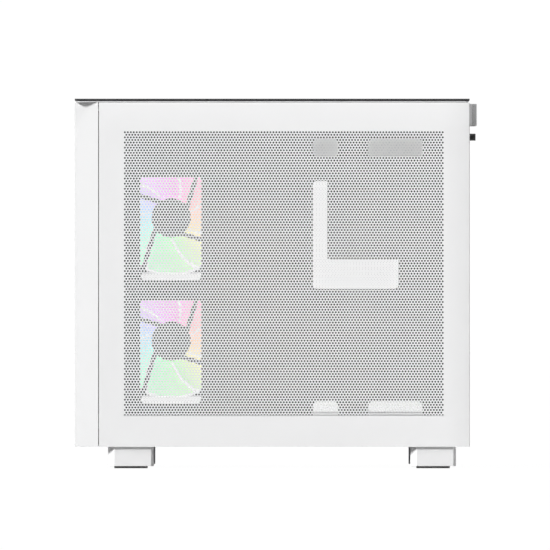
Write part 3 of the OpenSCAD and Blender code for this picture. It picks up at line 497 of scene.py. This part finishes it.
# --------------------------------------------------------------------------- modelling moves
class Bench:
    """The modelling moves that the sub-assemblies share. A finished piece has its place in its mesh."""

    @staticmethod
    def clear() -> None:
        """Leaves edit mode and selects nothing."""
        if bpy.context.object and bpy.context.object.mode != "OBJECT":
            bpy.ops.object.mode_set(mode="OBJECT")
        bpy.ops.object.select_all(action="DESELECT")

    @staticmethod
    def only(*objects: bpy.types.Object) -> None:
        """Selects these objects alone, with the first one active."""
        Bench.clear()
        for obj in objects:
            obj.select_set(True)
        bpy.context.view_layer.objects.active = objects[0]

    @staticmethod
    def bake_place(obj: bpy.types.Object) -> bpy.types.Object:
        """Moves an object's place, turn and scale into its mesh."""
        Bench.only(obj)
        bpy.ops.object.transform_apply(location=True, rotation=True, scale=True)
        return obj

    @staticmethod
    def block(low: Point, high: Point) -> bpy.types.Object:
        """Adds a cube that fills the box between two corners."""
        Bench.clear()
        middle = [(a + b) / 2 for a, b in zip(low, high)]
        bpy.ops.mesh.primitive_cube_add(size=1.0, location=middle)
        obj = bpy.context.object
        obj.scale = [b - a for a, b in zip(low, high)]
        return Bench.bake_place(obj)

    @staticmethod
    def drum(foot: Point, radius: float, height: float, axis: str = "Z", sides: int = 32) -> bpy.types.Object:
        """Adds a cylinder that starts at its foot and runs along +axis."""
        Bench.clear()
        turn = {"X": (0.0, math.pi / 2, 0.0), "Y": (-math.pi / 2, 0.0, 0.0), "Z": (0.0, 0.0, 0.0)}[axis]
        middle = Vector(foot) + Vector([height / 2 if a == axis else 0.0 for a in "XYZ"])
        bpy.ops.mesh.primitive_cylinder_add(
            vertices=sides, radius=radius, depth=height, location=middle, rotation=turn
        )
        return Bench.bake_place(bpy.context.object)

    @staticmethod
    def _pick(obj: bpy.types.Object, kind: str, test: Callable) -> int:
        """Enters edit mode with only the faces or edges that pass a test selected.

        Args:
            obj: The piece to edit.
            kind: What is picked, FACE or EDGE.
            test: Says whether one of them is wanted.

        Returns:
            How many are selected.
        """
        Bench.only(obj)
        bpy.ops.object.mode_set(mode="EDIT")
        bpy.ops.mesh.select_mode(type=kind)
        mesh = bmesh.from_edit_mesh(obj.data)
        for part in (*mesh.verts, *mesh.edges, *mesh.faces):
            part.select = False
        wanted = [part for part in (mesh.faces if kind == "FACE" else mesh.edges) if test(part)]
        for part in wanted:
            part.select = True
        bmesh.update_edit_mesh(obj.data)
        return len(wanted)

    @staticmethod
    def faces(obj: bpy.types.Object, test: Callable[[bmesh.types.BMFace], bool]) -> int:
        """Picks the faces that pass a test, and returns their number."""
        return Bench._pick(obj, "FACE", test)

    @staticmethod
    def edges(obj: bpy.types.Object, test: Callable[[bmesh.types.BMEdge], bool]) -> int:
        """Picks the edges that pass a test, and returns their number."""
        return Bench._pick(obj, "EDGE", test)

    @staticmethod
    def facing(axis: str, sign: int = 1) -> Callable[[bmesh.types.BMFace], bool]:
        """Returns a test for faces whose normal points along an axis."""
        index = "XYZ".index(axis)
        return lambda face: face.normal[index] * sign > 0.9

    @staticmethod
    def inset(obj: bpy.types.Object, test: Callable, thickness: float, depth: float = 0.0) -> None:
        """Insets the faces that pass a test, and sinks them by a depth below 0 or raises them."""
        if Bench.faces(obj, test):
            bpy.ops.mesh.inset(thickness=thickness, depth=depth)
        Bench.clear()

    @staticmethod
    def use(obj: bpy.types.Object, kind: str, **settings: object) -> bpy.types.Object:
        """Adds a modifier with those settings and applies it."""
        Bench.only(obj)
        modifier = obj.modifiers.new(kind.lower(), kind)
        for key, value in settings.items():
            setattr(modifier, key, value)
        bpy.ops.object.modifier_apply(modifier=modifier.name)
        return obj

    @staticmethod
    def round_off(obj: bpy.types.Object, width: float, segments: int = 2) -> bpy.types.Object:
        """Rounds every edge that is sharper than 30 degrees."""
        return Bench.use(obj, "BEVEL", width=width, segments=segments, limit_method="ANGLE")

    @staticmethod
    def join(objects: list[bpy.types.Object]) -> bpy.types.Object:
        """Joins objects into the first one."""
        Bench.only(*objects)
        if len(objects) > 1:
            bpy.ops.object.join()
        return objects[0]

    @staticmethod
    def twin(obj: bpy.types.Object, move: Point = (0, 0, 0), turn: Point | None = None) -> bpy.types.Object:
        """Copies an object with its own mesh, turned about the origin and then moved."""
        Bench.clear()
        copy = obj.copy()
        copy.data = obj.data.copy()
        bpy.context.scene.collection.objects.link(copy)
        copy.location = move
        if turn:
            copy.rotation_euler = turn
        return Bench.bake_place(copy)

    @staticmethod
    def finish(
        obj: bpy.types.Object,
        name: str,
        body: str,
        material: bpy.types.Material,
        slot: str,
        replaces: Iterable[str] = (),
        smooth: float = 35.0,
    ) -> bpy.types.Object:
        """Names a piece, gives it its finish and hangs it on its body.

        Args:
            obj: The piece, with its place in its mesh.
            name: Its name.
            body: The body that it moves with.
            material: Its finish.
            slot: The record's slot for that finish; not used.
            replaces: The model's nodes that it stands for.
            smooth: The angle in degrees up to which its shading is smooth.

        Returns:
            The piece.
        """
        Bench.bake_place(obj)
        obj.name = name
        obj.data.name = name
        obj.data.materials.clear()
        obj.data.materials.append(material)
        Bench.only(obj)
        bpy.ops.object.shade_smooth_by_angle(angle=math.radians(smooth))
        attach(obj, body)
        if replaces:
            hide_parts(*replaces)
        log.info("%s on %s, %d faces", name, body, len(obj.data.polygons))
        return obj


# --------------------------------------------------------------------------- carried-over nodes
@dataclass
class CarriedNodes:
    """The model's own nodes that stay: each gets its finish and slightly rounded edges."""

    palette: Palette
    edge: float = 0.35 * MM
    keep_sharp: tuple[str, ...] = ("top_glass", "left_glass", "front_glass", "heatsink", "io_shield")

    def dress(self) -> None:
        """Gives every node its material and rounds its edges."""
        slots = {part["node"]: part["material_slot"] for part in frame["record"]["subparts"]}
        corners = ("front_left", "front_right", "rear_left", "rear_right")
        special = {f"foot_{corner}": self.palette.foot_plastic for corner in corners}
        # the corner cover gets the darker copy of the white coat, which is painted shade
        special["corner_cover"] = self.palette.shaded_strip_coat
        special["bottom_filter"] = self.palette.filter_cloth
        for name, node in frame["nodes"].items():
            node.data.materials.clear()
            node.data.materials.append(special.get(name, self.palette.of(slots[name])))
            weld = node.modifiers.new("weld", "WELD")
            weld.merge_threshold = 1e-6
            if name in self.keep_sharp:
                continue
            bevel = node.modifiers.new("bevel", "BEVEL")
            bevel.width = self.edge
            bevel.segments = 2
            bevel.limit_method = "ANGLE"
            bevel.angle_limit = math.radians(40)
            log.info("%s keeps its shape", name)


# --------------------------------------------------------------------------- perforated side
@dataclass
class PerforatedSide:
    """The steel side: a folded sheet with a close field of small holes on a triangular grid."""

    palette: Palette
    columns: int = 108
    rows: int = 111
    bands: int = 3
    pitch: float = 3.3833 * MM
    row_pitch: float = 2.9288 * MM
    hole: float = 1.15 * MM
    margin_front: float = 29.6 * MM
    margin_bottom: float = 36.1 * MM
    border: float = 1.5 * MM
    sheet: float = 1.2 * MM
    fold: float = 13.0 * MM
    bend: float = 1.0 * MM
    low: Vector = field(default_factory=Vector)
    high: Vector = field(default_factory=Vector)

    def build(self) -> None:
        """Makes the folded sheet and the bands of its perforated field."""
        self.low, self.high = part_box("side_panel")
        self._folded_sheet()
        per_band = math.ceil(self.rows / self.bands)
        for band in range(self.bands):
            first = band * per_band
            self._band(band, first, min(self.rows, first + per_band))

    def _first_hole(self) -> tuple[float, float]:
        """Returns the Y and Z of the first hole of the lowest row."""
        return self.low.y + self.margin_front, self.low.z + self.margin_bottom

    def _field(self) -> tuple[float, float, float, float]:
        """Returns the perforated field's Y and Z limits, a little past its outer holes."""
        y, z = self._first_hole()
        return (
            y - self.border,
            y + (self.columns - 1) * self.pitch + self.border,
            z - self.border,
            z + (self.rows - 1) * self.row_pitch + self.border,
        )

    def _folded_sheet(self) -> None:
        """Makes the sheet round the field, with its rear and top folds."""
        y0, y1, z0, z1 = self._field()
        Bench.clear()
        middle = (self.high.x, (self.low.y + self.high.y) / 2, (self.low.z + self.high.z) / 2)
        bpy.ops.mesh.primitive_plane_add(size=1.0, location=middle, rotation=(0.0, math.pi / 2, 0.0))
        sheet = bpy.context.object
        sheet.scale = (self.high.z - self.low.z, self.high.y - self.low.y, 1.0)
        Bench.bake_place(sheet)
        for point, normal in (
            ((0, y0, 0), (0, 1, 0)),
            ((0, y1, 0), (0, 1, 0)),
            ((0, 0, z0), (0, 0, 1)),
            ((0, 0, z1), (0, 0, 1)),
        ):
            Bench.faces(sheet, lambda face: True)
            bpy.ops.mesh.bisect(plane_co=point, plane_no=normal)
        Bench.faces(
            sheet, lambda f: y0 < f.calc_center_median().y < y1 and z0 < f.calc_center_median().z < z1
        )
        bpy.ops.mesh.delete(type="FACE")
        inward = {"value": (-(self.fold - self.sheet / 2), 0, 0)}
        for test in (
            lambda e: all(abs(v.co.y - self.high.y) < 1e-6 and v.co.x > self.high.x - 1e-6 for v in e.verts),
            lambda e: all(abs(v.co.z - self.high.z) < 1e-6 and v.co.x > self.high.x - 1e-6 for v in e.verts),
        ):
            Bench.edges(sheet, test)
            bpy.ops.mesh.extrude_region_move(TRANSFORM_OT_translate=inward)
        Bench.edges(sheet, lambda e: len(e.link_faces) == 2 and e.calc_face_angle(0.0) > 1.0)
        bpy.ops.mesh.bevel(offset=self.bend, segments=4)
        Bench.use(sheet, "SOLIDIFY", thickness=self.sheet, offset=-1.0)
        coat = self.palette.of("white_steel")
        Bench.finish(sheet, "perforated_side_sheet", "perforated_side", coat, "white_steel", ("side_panel",))

    def _cell(self, y: float, z: float, holed: bool) -> bpy.types.Object:
        """Adds one six-sided cell of the field, with its hole or without."""
        Bench.clear()
        bpy.ops.mesh.primitive_circle_add(
            vertices=6, radius=self.row_pitch / 1.5, fill_type="NGON", location=(self.high.x, y, z),
            rotation=(math.pi / 2, 0.0, math.pi / 2),
        )
        cell = Bench.bake_place(bpy.context.object)
        if holed:
            Bench.faces(cell, lambda face: True)
            bpy.ops.mesh.inset(thickness=(self.row_pitch / 1.5 - self.hole) * math.cos(math.pi / 6))
            bpy.ops.mesh.delete(type="FACE")
        Bench.clear()
        return cell

    def _rows_of(self, y: float, z: float, holes: int, count: int) -> list[bpy.types.Object]:
        """Adds every other row of a band, plain cells at both ends.

        Args:
            y: The first hole's Y.
            z: The first row's Z.
            holes: How many holes a row has.
            count: How many rows there are.

        Returns:
            The rows' holed and plain cells.
        """
        holed = self._cell(y, z, True)
        Bench.use(holed, "ARRAY", count=holes, use_relative_offset=False, use_constant_offset=True,
                  constant_offset_displace=(0.0, self.pitch, 0.0))
        ends = [self._cell(y - self.pitch, z, False), self._cell(y + holes * self.pitch, z, False)]
        made = [holed, *ends]
        for obj in made:
            Bench.use(obj, "ARRAY", count=count, use_relative_offset=False, use_constant_offset=True,
                      constant_offset_displace=(0.0, 0.0, 2 * self.row_pitch))
        return made

    def _band(self, band: int, first: int, last: int) -> None:
        """Makes the rows from first up to last of the field as one piece."""
        y, z = self._first_hole()
        parts: list[bpy.types.Object] = []
        for row in (first, first + 1):
            shift = 0.5 * (row % 2)
            holes = self.columns - row % 2
            count = (last - row + 1) // 2
            parts += self._rows_of(y + shift * self.pitch, z + row * self.row_pitch, holes, count)
        for row in (-1, self.rows):
            if row in (first - 1, last):
                plain = self._cell(y - 0.5 * self.pitch, z + row * self.row_pitch, False)
                Bench.use(plain, "ARRAY", count=self.columns + 1, use_relative_offset=False,
                          use_constant_offset=True, constant_offset_displace=(0.0, self.pitch, 0.0))
                parts.append(plain)
        piece = Bench.join(parts)
        y0, y1, z0, z1 = self._field()
        Bench.faces(piece, lambda face: True)
        bpy.ops.mesh.remove_doubles(threshold=1e-5)
        for point, normal in (
            ((0, y0, 0), (0, -1, 0)),
            ((0, y1, 0), (0, 1, 0)),
            ((0, 0, z0), (0, 0, -1)),
            ((0, 0, z1), (0, 0, 1)),
        ):
            bpy.ops.mesh.select_all(action="SELECT")
            bpy.ops.mesh.bisect(plane_co=point, plane_no=normal, clear_outer=True)
        bpy.ops.mesh.select_all(action="SELECT")
        bpy.ops.mesh.normals_make_consistent(inside=False)
        Bench.clear()
        if sum(f.normal.x for f in piece.data.polygons) < 0:
            Bench.faces(piece, lambda face: True)
            bpy.ops.mesh.flip_normals()
        Bench.use(piece, "SOLIDIFY", thickness=self.sheet, offset=-1.0)
        coat = self.palette.of("white_steel")
        Bench.finish(piece, f"perforated_field_{band + 1}", "perforated_side", coat, "white_steel", smooth=20.0)


# --------------------------------------------------------------------------- fans
class Aim(Enum):
    """Which way a fan's inlet side faces: the turn that brings +Z there."""

    LEFT = (0.0, -math.pi / 2, 0.0)
    FRONT = (math.pi / 2, 0.0, 0.0)
    DOWN = (math.pi, 0.0, 0.0)

    @property
    def axis(self) -> str:
        """The axis that the fan turns about."""
        return {"LEFT": "X", "FRONT": "Y", "DOWN": "Z"}[self.name]


@dataclass
class Rotor:
    """A fan's rotor: a domed hub and swept, twisted blades."""

    node: str
    body: str
    aim: Aim
    palette: Palette
    blades: int = 7
    hub_share: float = 0.34
    chord: float = 0.92
    sweep: float = 26.0
    lit: bool = True
    stations: int = 7

    def build(self) -> None:
        """Makes the rotor in the place of its node."""
        low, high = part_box(self.node)
        centre = (low + high) / 2
        index = "XYZ".index(self.aim.axis)
        depth = (high - low)[index]
        tip = max((high - low)[i] for i in range(3) if i != index) / 2
        hub = tip * self.hub_share
        parts = [self._hub(hub, depth), *self._blades(hub, tip, depth)]
        rotor = Bench.join(parts)
        rotor.rotation_euler = self.aim.value
        rotor.location = centre
        slot = next(p["material_slot"] for p in frame["record"]["subparts"] if p["node"] == self.node)
        finish = self.palette.of(slot)
        if self.lit:
            finish = LitBlades(f"{self.node}_glow", tuple(centre), self.aim.axis).material()
        Bench.finish(rotor, f"{self.node}_blades", self.body, finish, slot, (self.node,), 50.0)
        self._cap(centre, hub, depth)

    def _hub(self, radius: float, depth: float) -> bpy.types.Object:
        """Makes the hub, with its inlet side on top."""
        hub = Bench.drum((0, 0, -depth / 2), radius, depth * 0.94, sides=40)
        Bench.inset(hub, Bench.facing("Z", 1), radius * 0.16, 0.0)
        return Bench.round_off(hub, radius * 0.09, 3)

    def _cap(self, centre: Vector, radius: float, depth: float) -> None:
        """Makes the turned disc on the hub's inlet side."""
        cap = Bench.drum((0, 0, depth * 0.43), radius * 0.74, depth * 0.06, sides=40)
        Bench.inset(cap, Bench.facing("Z", 1), radius * 0.1, -depth * 0.012)
        Bench.round_off(cap, depth * 0.012, 2)
        cap.rotation_euler = self.aim.value
        cap.location = centre
        Bench.finish(cap, f"{self.node}_cap", self.body, self.palette.of("white_plastic"), "white_plastic")

    def _blades(self, hub: float, tip: float, depth: float) -> list[bpy.types.Object]:
        """Makes one blade from its root outwards and copies it round the hub."""
        Bench.clear()
        span = 2 * math.pi / self.blades * self.chord
        root = hub * 0.96
        bpy.ops.mesh.primitive_grid_add(x_subdivisions=1, y_subdivisions=6, size=1.0)
        blade = bpy.context.object
        blade.scale = (0.001 * MM, root * span, 1.0)
        blade.location = (root, 0, 0)
        Bench.bake_place(blade)
        Bench.faces(blade, lambda face: True)
        bpy.ops.mesh.remove_doubles(threshold=0.01 * MM)
        bpy.ops.mesh.select_mode(type="VERT")
        # the chord follows the hub's curve and slopes through its depth
        mesh = bmesh.from_edit_mesh(blade.data)
        for vert in mesh.verts:
            angle = vert.co.y / root
            slope = -math.sin(angle / span * 2.4) * depth * 0.36
            vert.co = Vector((math.cos(angle) * root, math.sin(angle) * root, slope))
            vert.select = True
        for edge in mesh.edges:
            edge.select = True
        bmesh.update_edit_mesh(blade.data)
        step = (tip - root) / self.stations
        for station in range(self.stations):
            radius = root + step * station
            grow = (radius + step) / radius
            bpy.ops.mesh.extrude_region_move(TRANSFORM_OT_translate={"value": (0, 0, 0)})
            bpy.ops.transform.resize(value=(grow, grow, 0.985), center_override=(0, 0, 0))
            bpy.ops.transform.rotate(
                value=math.radians(self.sweep / self.stations), orient_axis="Z", center_override=(0, 0, 0)
            )
        bpy.ops.mesh.select_all(action="SELECT")
        bpy.ops.mesh.remove_doubles(threshold=0.001 * MM)
        bpy.ops.mesh.normals_make_consistent(inside=False)
        Bench.use(blade, "SOLIDIFY", thickness=1.3 * MM, offset=0.0)
        Bench.round_off(blade, 0.35 * MM, 1)
        others = [Bench.twin(blade, turn=(0, 0, 2 * math.pi * k / self.blades)) for k in range(1, self.blades)]
        return [blade, *others]


# --------------------------------------------------------------------------- knurled screw
@dataclass
class Thumbscrew:
    """The knurled screw that holds the top panel at the rear."""

    palette: Palette
    ridges: int = 36
    ridge: float = 0.35 * MM

    def build(self) -> None:
        """Makes the head with its knurling and slot, and its shank."""
        low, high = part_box("top_thumbscrew")
        centre = (low + high) / 2
        radius = (high.x - low.x) / 2
        head_y = high.y - 6.7 * MM
        head = Bench.drum((centre.x, head_y, centre.z), radius, 6.7 * MM, "Y", self.ridges * 2)
        Bench.inset(head, Bench.facing("Y", 1), radius * 0.14, 0.0)
        Bench.inset(head, lambda f: f.normal.y > 0.9 and f.calc_area() > 1e-5, radius * 0.16, -0.5 * MM)
        for vert in head.data.vertices:
            out = Vector((vert.co.x - centre.x, 0, vert.co.z - centre.z))
            turn = math.atan2(out.z, out.x)
            if out.length > radius * 0.98 and round(turn / (math.pi / self.ridges)) % 2:
                vert.co -= out.normalized() * self.ridge
        collar = Bench.drum((centre.x, head_y - 1.45 * MM, centre.z), radius * 0.8, 1.5 * MM, "Y", 32)
        shank = Bench.drum((centre.x, low.y, centre.z), 1.75 * MM, high.y - 5 * MM - low.y, "Y", 24)
        Bench.round_off(shank, 0.3 * MM, 2)
        piece = Bench.join([head, collar, shank])
        Bench.finish(piece, "knurled_screw", "thumbscrew", self.palette.of("dark_steel"), "dark_steel",
                     ("top_thumbscrew",), 25.0)


# --------------------------------------------------------------------------- board details
@dataclass
class BackPlate:
    """The white plate on the board's back, which shows through the tray's cut-out; its glow is painted light
    standing in for the light that falls on it.
    """

    palette: Palette
    thick: float = 1.0 * MM
    stand_off: float = 0.2 * MM
    overlap: float = 3.0 * MM
    from_rear: tuple[float, float] = (167.0 * MM, 69.5 * MM)
    from_top: tuple[float, float] = (180.5 * MM, 57.6 * MM)

    def build(self) -> None:
        """Makes the plate just behind the cut-out."""
        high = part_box("motherboard")[1]
        x = high.x + self.stand_off
        y = [high.y - back for back in self.from_rear]
        z = [high.z - down for down in self.from_top]
        plate = Bench.block(
            (x, y[0] - self.overlap, z[0] - self.overlap),
            (x + self.thick, y[1] + self.overlap, z[1] + self.overlap),
        )
        Bench.inset(plate, Bench.facing("X", 1), 2.0 * MM, 0.15 * MM)
        Bench.round_off(plate, 0.3 * MM, 2)
        # the plate's glow is painted light
        Bench.finish(plate, "board_back_plate", "chassis", self.palette.painted_glow_plate, "white_board")


@dataclass
class BoardDetails:
    """What stands on the board's front: capacitors, chips, pin headers and the memory's light bars."""

    palette: Palette
    board: float = 1.6 * MM
    can_radius: float = 3.1 * MM
    can_height: float = 8.0 * MM
    cans: int = 9
    pin: float = 0.64 * MM
    pin_pitch: float = 2.54 * MM
    # each chip's distance from the board's rear and top edges and half its width, in millimetres
    chips: tuple[Point, ...] = (
        (150.0, 150.0, 8.0),
        (184.0, 196.0, 9.0),
        (205.0, 160.0, 5.0),
        (60.0, 212.0, 6.0),
        (92.0, 212.0, 4.0),
    )
    low: Vector = field(default_factory=Vector)
    high: Vector = field(default_factory=Vector)

    def build(self) -> None:
        """Makes every group of parts on the board."""
        self.low, self.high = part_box("motherboard")
        self._capacitors()
        self._chips()
        self._headers()
        self._light_bars()

    def _capacitors(self) -> None:
        """Makes a row of cans above the processor and one beside the card's slot."""
        face = self.high.x - self.board
        row = [(self.high.y - (132.0 - 9.0 * i) * MM, self.high.z - 33.0 * MM) for i in range(self.cans)]
        row += [(self.high.y - (160.0 + 9.0 * i) * MM, self.low.z + 12.0 * MM) for i in range(4)]
        cans = []
        for y, z in row:
            can = Bench.drum((face - self.can_height, y, z), self.can_radius, self.can_height, "X", 20)
            Bench.inset(can, Bench.facing("X", -1), 0.5 * MM, 0.25 * MM)
            cans.append(can)
        piece = Bench.join(cans)
        Bench.finish(piece, "board_capacitors", "chassis", self.palette.of("aluminium"), "aluminium")

    def _chips(self) -> None:
        """Makes the flat black chips round the board."""
        face = self.high.x - self.board
        chips = []
        for back, down, half in self.chips:
            y, z, h = self.high.y - back * MM, self.high.z - down * MM, half * MM
            chip = Bench.block((face - 1.4 * MM, y - h, z - h), (face, y + h, z + h))
            Bench.inset(chip, Bench.facing("X", -1), 0.8 * MM, 0.1 * MM)
            Bench.round_off(chip, 0.15 * MM, 1)
            chips.append(chip)
        black = self.palette.of("dark_plastic")
        Bench.finish(Bench.join(chips), "board_chips", "chassis", black, "dark_plastic")

    def _headers(self) -> None:
        """Makes the pin headers along the lower edge: a black base under each double row of gilt pins."""
        face = self.high.x - self.board
        bases, pins = [], []
        for group in range(5):
            start = self.high.y - (40.0 + 24.0 * group) * MM
            z = self.low.z + 4.0 * MM
            bases.append(Bench.block((face - 2.5 * MM, start - 13.0 * MM, z), (face, start, z + 5.0 * MM)))
            for i in range(5):
                for row in range(2):
                    y = start - 1.4 * MM - self.pin_pitch * i
                    at = z + 1.2 * MM + self.pin_pitch * row
                    foot = (face - 8.5 * MM, y - self.pin, at - self.pin / 2)
                    pins.append(Bench.block(foot, (face - 2.4 * MM, y, at + self.pin / 2)))
        base = Bench.join(bases)
        Bench.round_off(base, 0.2 * MM, 1)
        Bench.finish(base, "header_bases", "chassis", self.palette.of("dark_plastic"), "dark_plastic")
        Bench.finish(Bench.join(pins), "header_pins", "chassis", self.palette.gold, "brass")

    def _light_bars(self) -> None:
        """Makes the diffuser along the edge of each memory module."""
        low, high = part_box("memory_modules")
        bars = []
        for start in (low.y, high.y - 8.0 * MM):
            bar = Bench.block(
                (low.x - 1.5 * MM, start + 1.2 * MM, low.z + 2.0 * MM),
                (low.x + 0.2 * MM, start + 6.8 * MM, high.z - 2.0 * MM),
            )
            Bench.round_off(bar, 0.8 * MM, 3)
            bars.append(bar)
        Bench.finish(Bench.join(bars), "memory_light_bars", "chassis", self.palette.light_bar, "white_plastic")


@dataclass
class PaintedLightStrips:
    """The frosted strip under each large fan, whose glow is painted light on the foot of its window."""

    palette: Palette
    half: float = 34.0 * MM
    drop: tuple[float, float] = (70.0 * MM, 63.5 * MM)
    thick: float = 0.8 * MM

    def build(self) -> None:
        """Makes both strips, each on the tray side of its fan's frame."""
        for node in ("upper_fan_frame", "lower_fan_frame"):
            low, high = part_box(node)
            middle = (low + high) / 2
            strip = Bench.block(
                (high.x - 0.1 * MM, middle.y - self.half, middle.z - self.drop[0]),
                (high.x + self.thick, middle.y + self.half, middle.z - self.drop[1]),
            )
            Bench.inset(strip, Bench.facing("X", 1), 0.8 * MM, 0.2 * MM)
            Bench.round_off(strip, 0.3 * MM, 2)
            Bench.finish(strip, f"{node}_painted_light_strip", "chassis", self.palette.painted_glow_plate, "white_plastic")


@dataclass
class TopPane:
    """The dark glass on top, with ground edges, and the thin white rim that it lies on."""

    palette: Palette
    thick: float = 3.0 * MM
    bevel: float = 1.6 * MM
    corner: float = 4.0 * MM
    rim_in: float = 0.6 * MM

    def build(self) -> None:
        """Makes the pane and its rim in the place of the model's pane."""
        low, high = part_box("top_glass")
        pane = Bench.block((low.x, low.y, high.z - self.thick), tuple(high))
        upright = lambda e: abs(e.verts[0].co.z - e.verts[1].co.z) > self.thick / 2
        Bench.edges(pane, upright)
        bpy.ops.mesh.bevel(offset=self.corner, segments=5)
        Bench.edges(
            pane, lambda e: all(v.co.z < high.z - self.thick / 2 for v in e.verts) and len(e.link_faces) == 2
            and e.calc_face_angle(0.0) > 1.0
        )
        bpy.ops.mesh.bevel(offset=self.bevel, segments=2)
        Bench.clear()
        smoked = self.palette.of("smoked_glass")
        Bench.finish(pane, "smoked_pane", "top_panel", smoked, "smoked_glass", ("top_glass",))
        rim = Bench.block(
            (low.x + self.rim_in, low.y + self.bevel, low.z),
            (high.x - self.rim_in, high.y - self.bevel, high.z - self.thick - 0.05 * MM),
        )
        Bench.inset(rim, Bench.facing("Z", -1), 6.0 * MM, 0.0)
        Bench.edges(rim, lambda e: abs(e.verts[0].co.z - e.verts[1].co.z) > 0.8 * MM)
        bpy.ops.mesh.bevel(offset=self.corner, segments=5)
        Bench.clear()
        Bench.finish(rim, "pane_rim", "top_panel", self.palette.print_band, "white_plastic")


# --------------------------------------------------------------------------- studio
@dataclass
class Studio:
    """The pale floor, the soft lights and the camera."""

    distance: float = 20.0
    height: float = 0.2202
    aside: float = -0.0013
    view_width: float = 0.6264
    floor_size: float = 60.0

    def build(self) -> None:
        """Makes the studio round the tower."""
        _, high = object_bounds()
        self._floor()
        self._world()
        self._sun("key", (0.5, -0.75, 0.42), 12.0, 3.85)
        self._sun("top", (0.45, 0.1, 0.9), 20.0, 0.8)
        self._sun("back", (-0.9, 0.25, 0.5), 20.0, 1.6)
        self._camera(high.x)

    def _floor(self) -> None:
        """Makes the floor."""
        Bench.clear()
        bpy.ops.mesh.primitive_plane_add(size=self.floor_size, location=(0, 0, 0))
        floor = bpy.context.object
        floor.name = "floor"
        s = Shader("pale_floor")
        grain = s.mix(s.noise(0.5), (0.5, 0.5, 0.5), (0.54, 0.54, 0.54))
        matt = s.node("ShaderNodeBsdfDiffuse", {}, {"Color": grain, "Roughness": 0.9})
        pale = s.node("ShaderNodeEmission", {}, {"Color": (1.0, 1.0, 1.0, 1.0), "Strength": 1.02})
        seen = s.node("ShaderNodeLightPath", output="Is Camera Ray")
        s.node_output(s.node("ShaderNodeMixShader", {}, {0: seen * 0.97, 1: matt, 2: pale}))
        floor.data.materials.append(s.material)
        floor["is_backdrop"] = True

    def _world(self) -> None:
        """Makes a white backdrop whose light is softer than it looks."""
        world = bpy.data.worlds.new("studio")
        bpy.context.scene.world = world
        world.use_nodes = True
        tree = world.node_tree
        tree.nodes.clear()
        rays = tree.nodes.new("ShaderNodeLightPath")
        seen = tree.nodes.new("ShaderNodeBackground")
        seen.inputs[0].default_value = (1.0, 1.0, 1.0, 1.0)
        seen.inputs[1].default_value = 1.02
        cast = tree.nodes.new("ShaderNodeBackground")
        cast.inputs[0].default_value = (0.97, 0.98, 1.0, 1.0)
        cast.inputs[1].default_value = 0.12
        mix = tree.nodes.new("ShaderNodeMixShader")
        out = tree.nodes.new("ShaderNodeOutputWorld")
        tree.links.new(rays.outputs["Is Camera Ray"], mix.inputs[0])
        tree.links.new(cast.outputs[0], mix.inputs[1])
        tree.links.new(seen.outputs[0], mix.inputs[2])
        tree.links.new(mix.outputs[0], out.inputs[0])

    def _sun(self, name: str, from_way: Point, spread: float, power: float) -> None:
        """Adds an even, soft light.

        Args:
            name: Its name.
            from_way: The direction that it comes from.
            spread: How wide it looks, in degrees.
            power: Its strength on a surface that faces it.
        """
        data = bpy.data.lights.new(name, "SUN")
        data.angle = math.radians(spread)
        data.energy = power
        lamp = bpy.data.objects.new(name, data)
        lamp.rotation_euler = (-Vector(from_way)).to_track_quat("-Z", "Y").to_euler()
        bpy.context.scene.collection.objects.link(lamp)

    def _camera(self, face: float) -> None:
        """Adds the camera, square to the perforated side."""
        data = bpy.data.cameras.new("camera")
        data.sensor_width = 36.0
        data.lens = data.sensor_width * self.distance / self.view_width
        data.clip_start = 0.05
        data.clip_end = 200.0
        camera = bpy.data.objects.new("camera", data)
        camera.location = (face + self.distance, self.aside, self.height)
        camera.rotation_euler = (math.pi / 2, 0.0, math.pi / 2)
        bpy.context.scene.collection.objects.link(camera)
        bpy.context.scene.camera = camera
        bpy.context.scene.view_settings.view_transform = "Standard"


def main() -> None:
    """Builds the tower's pieces in order, then the studio."""
    logging.basicConfig(level=logging.INFO, format="%(name)s: %(message)s")
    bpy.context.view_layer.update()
    palette = Palette()
    CarriedNodes(palette).dress()
    PerforatedSide(palette).build()
    for rotor in (
        Rotor("upper_fan_rotor", "upper_rotor", Aim.LEFT, palette),
        Rotor("lower_fan_rotor", "lower_rotor", Aim.LEFT, palette),
        Rotor("rear_fan_rotor", "rear_rotor", Aim.FRONT, palette),
        Rotor("cooler_fan_rotor", "cooler_rotor", Aim.FRONT, palette),
        Rotor("supply_fan_rotor", "supply_rotor", Aim.LEFT, palette, blades=9, lit=False),
        Rotor("graphics_rotor_front", "graphics_front_rotor", Aim.DOWN, palette, blades=9, lit=False),
        Rotor("graphics_rotor_rear", "graphics_rear_rotor", Aim.DOWN, palette, blades=9, lit=False),
    ):
        rotor.build()
    Thumbscrew(palette).build()
    BackPlate(palette).build()
    BoardDetails(palette).build()
    PaintedLightStrips(palette).build()
    TopPane(palette).build()
    Studio().build()


if __name__ == "__main__":
    main()
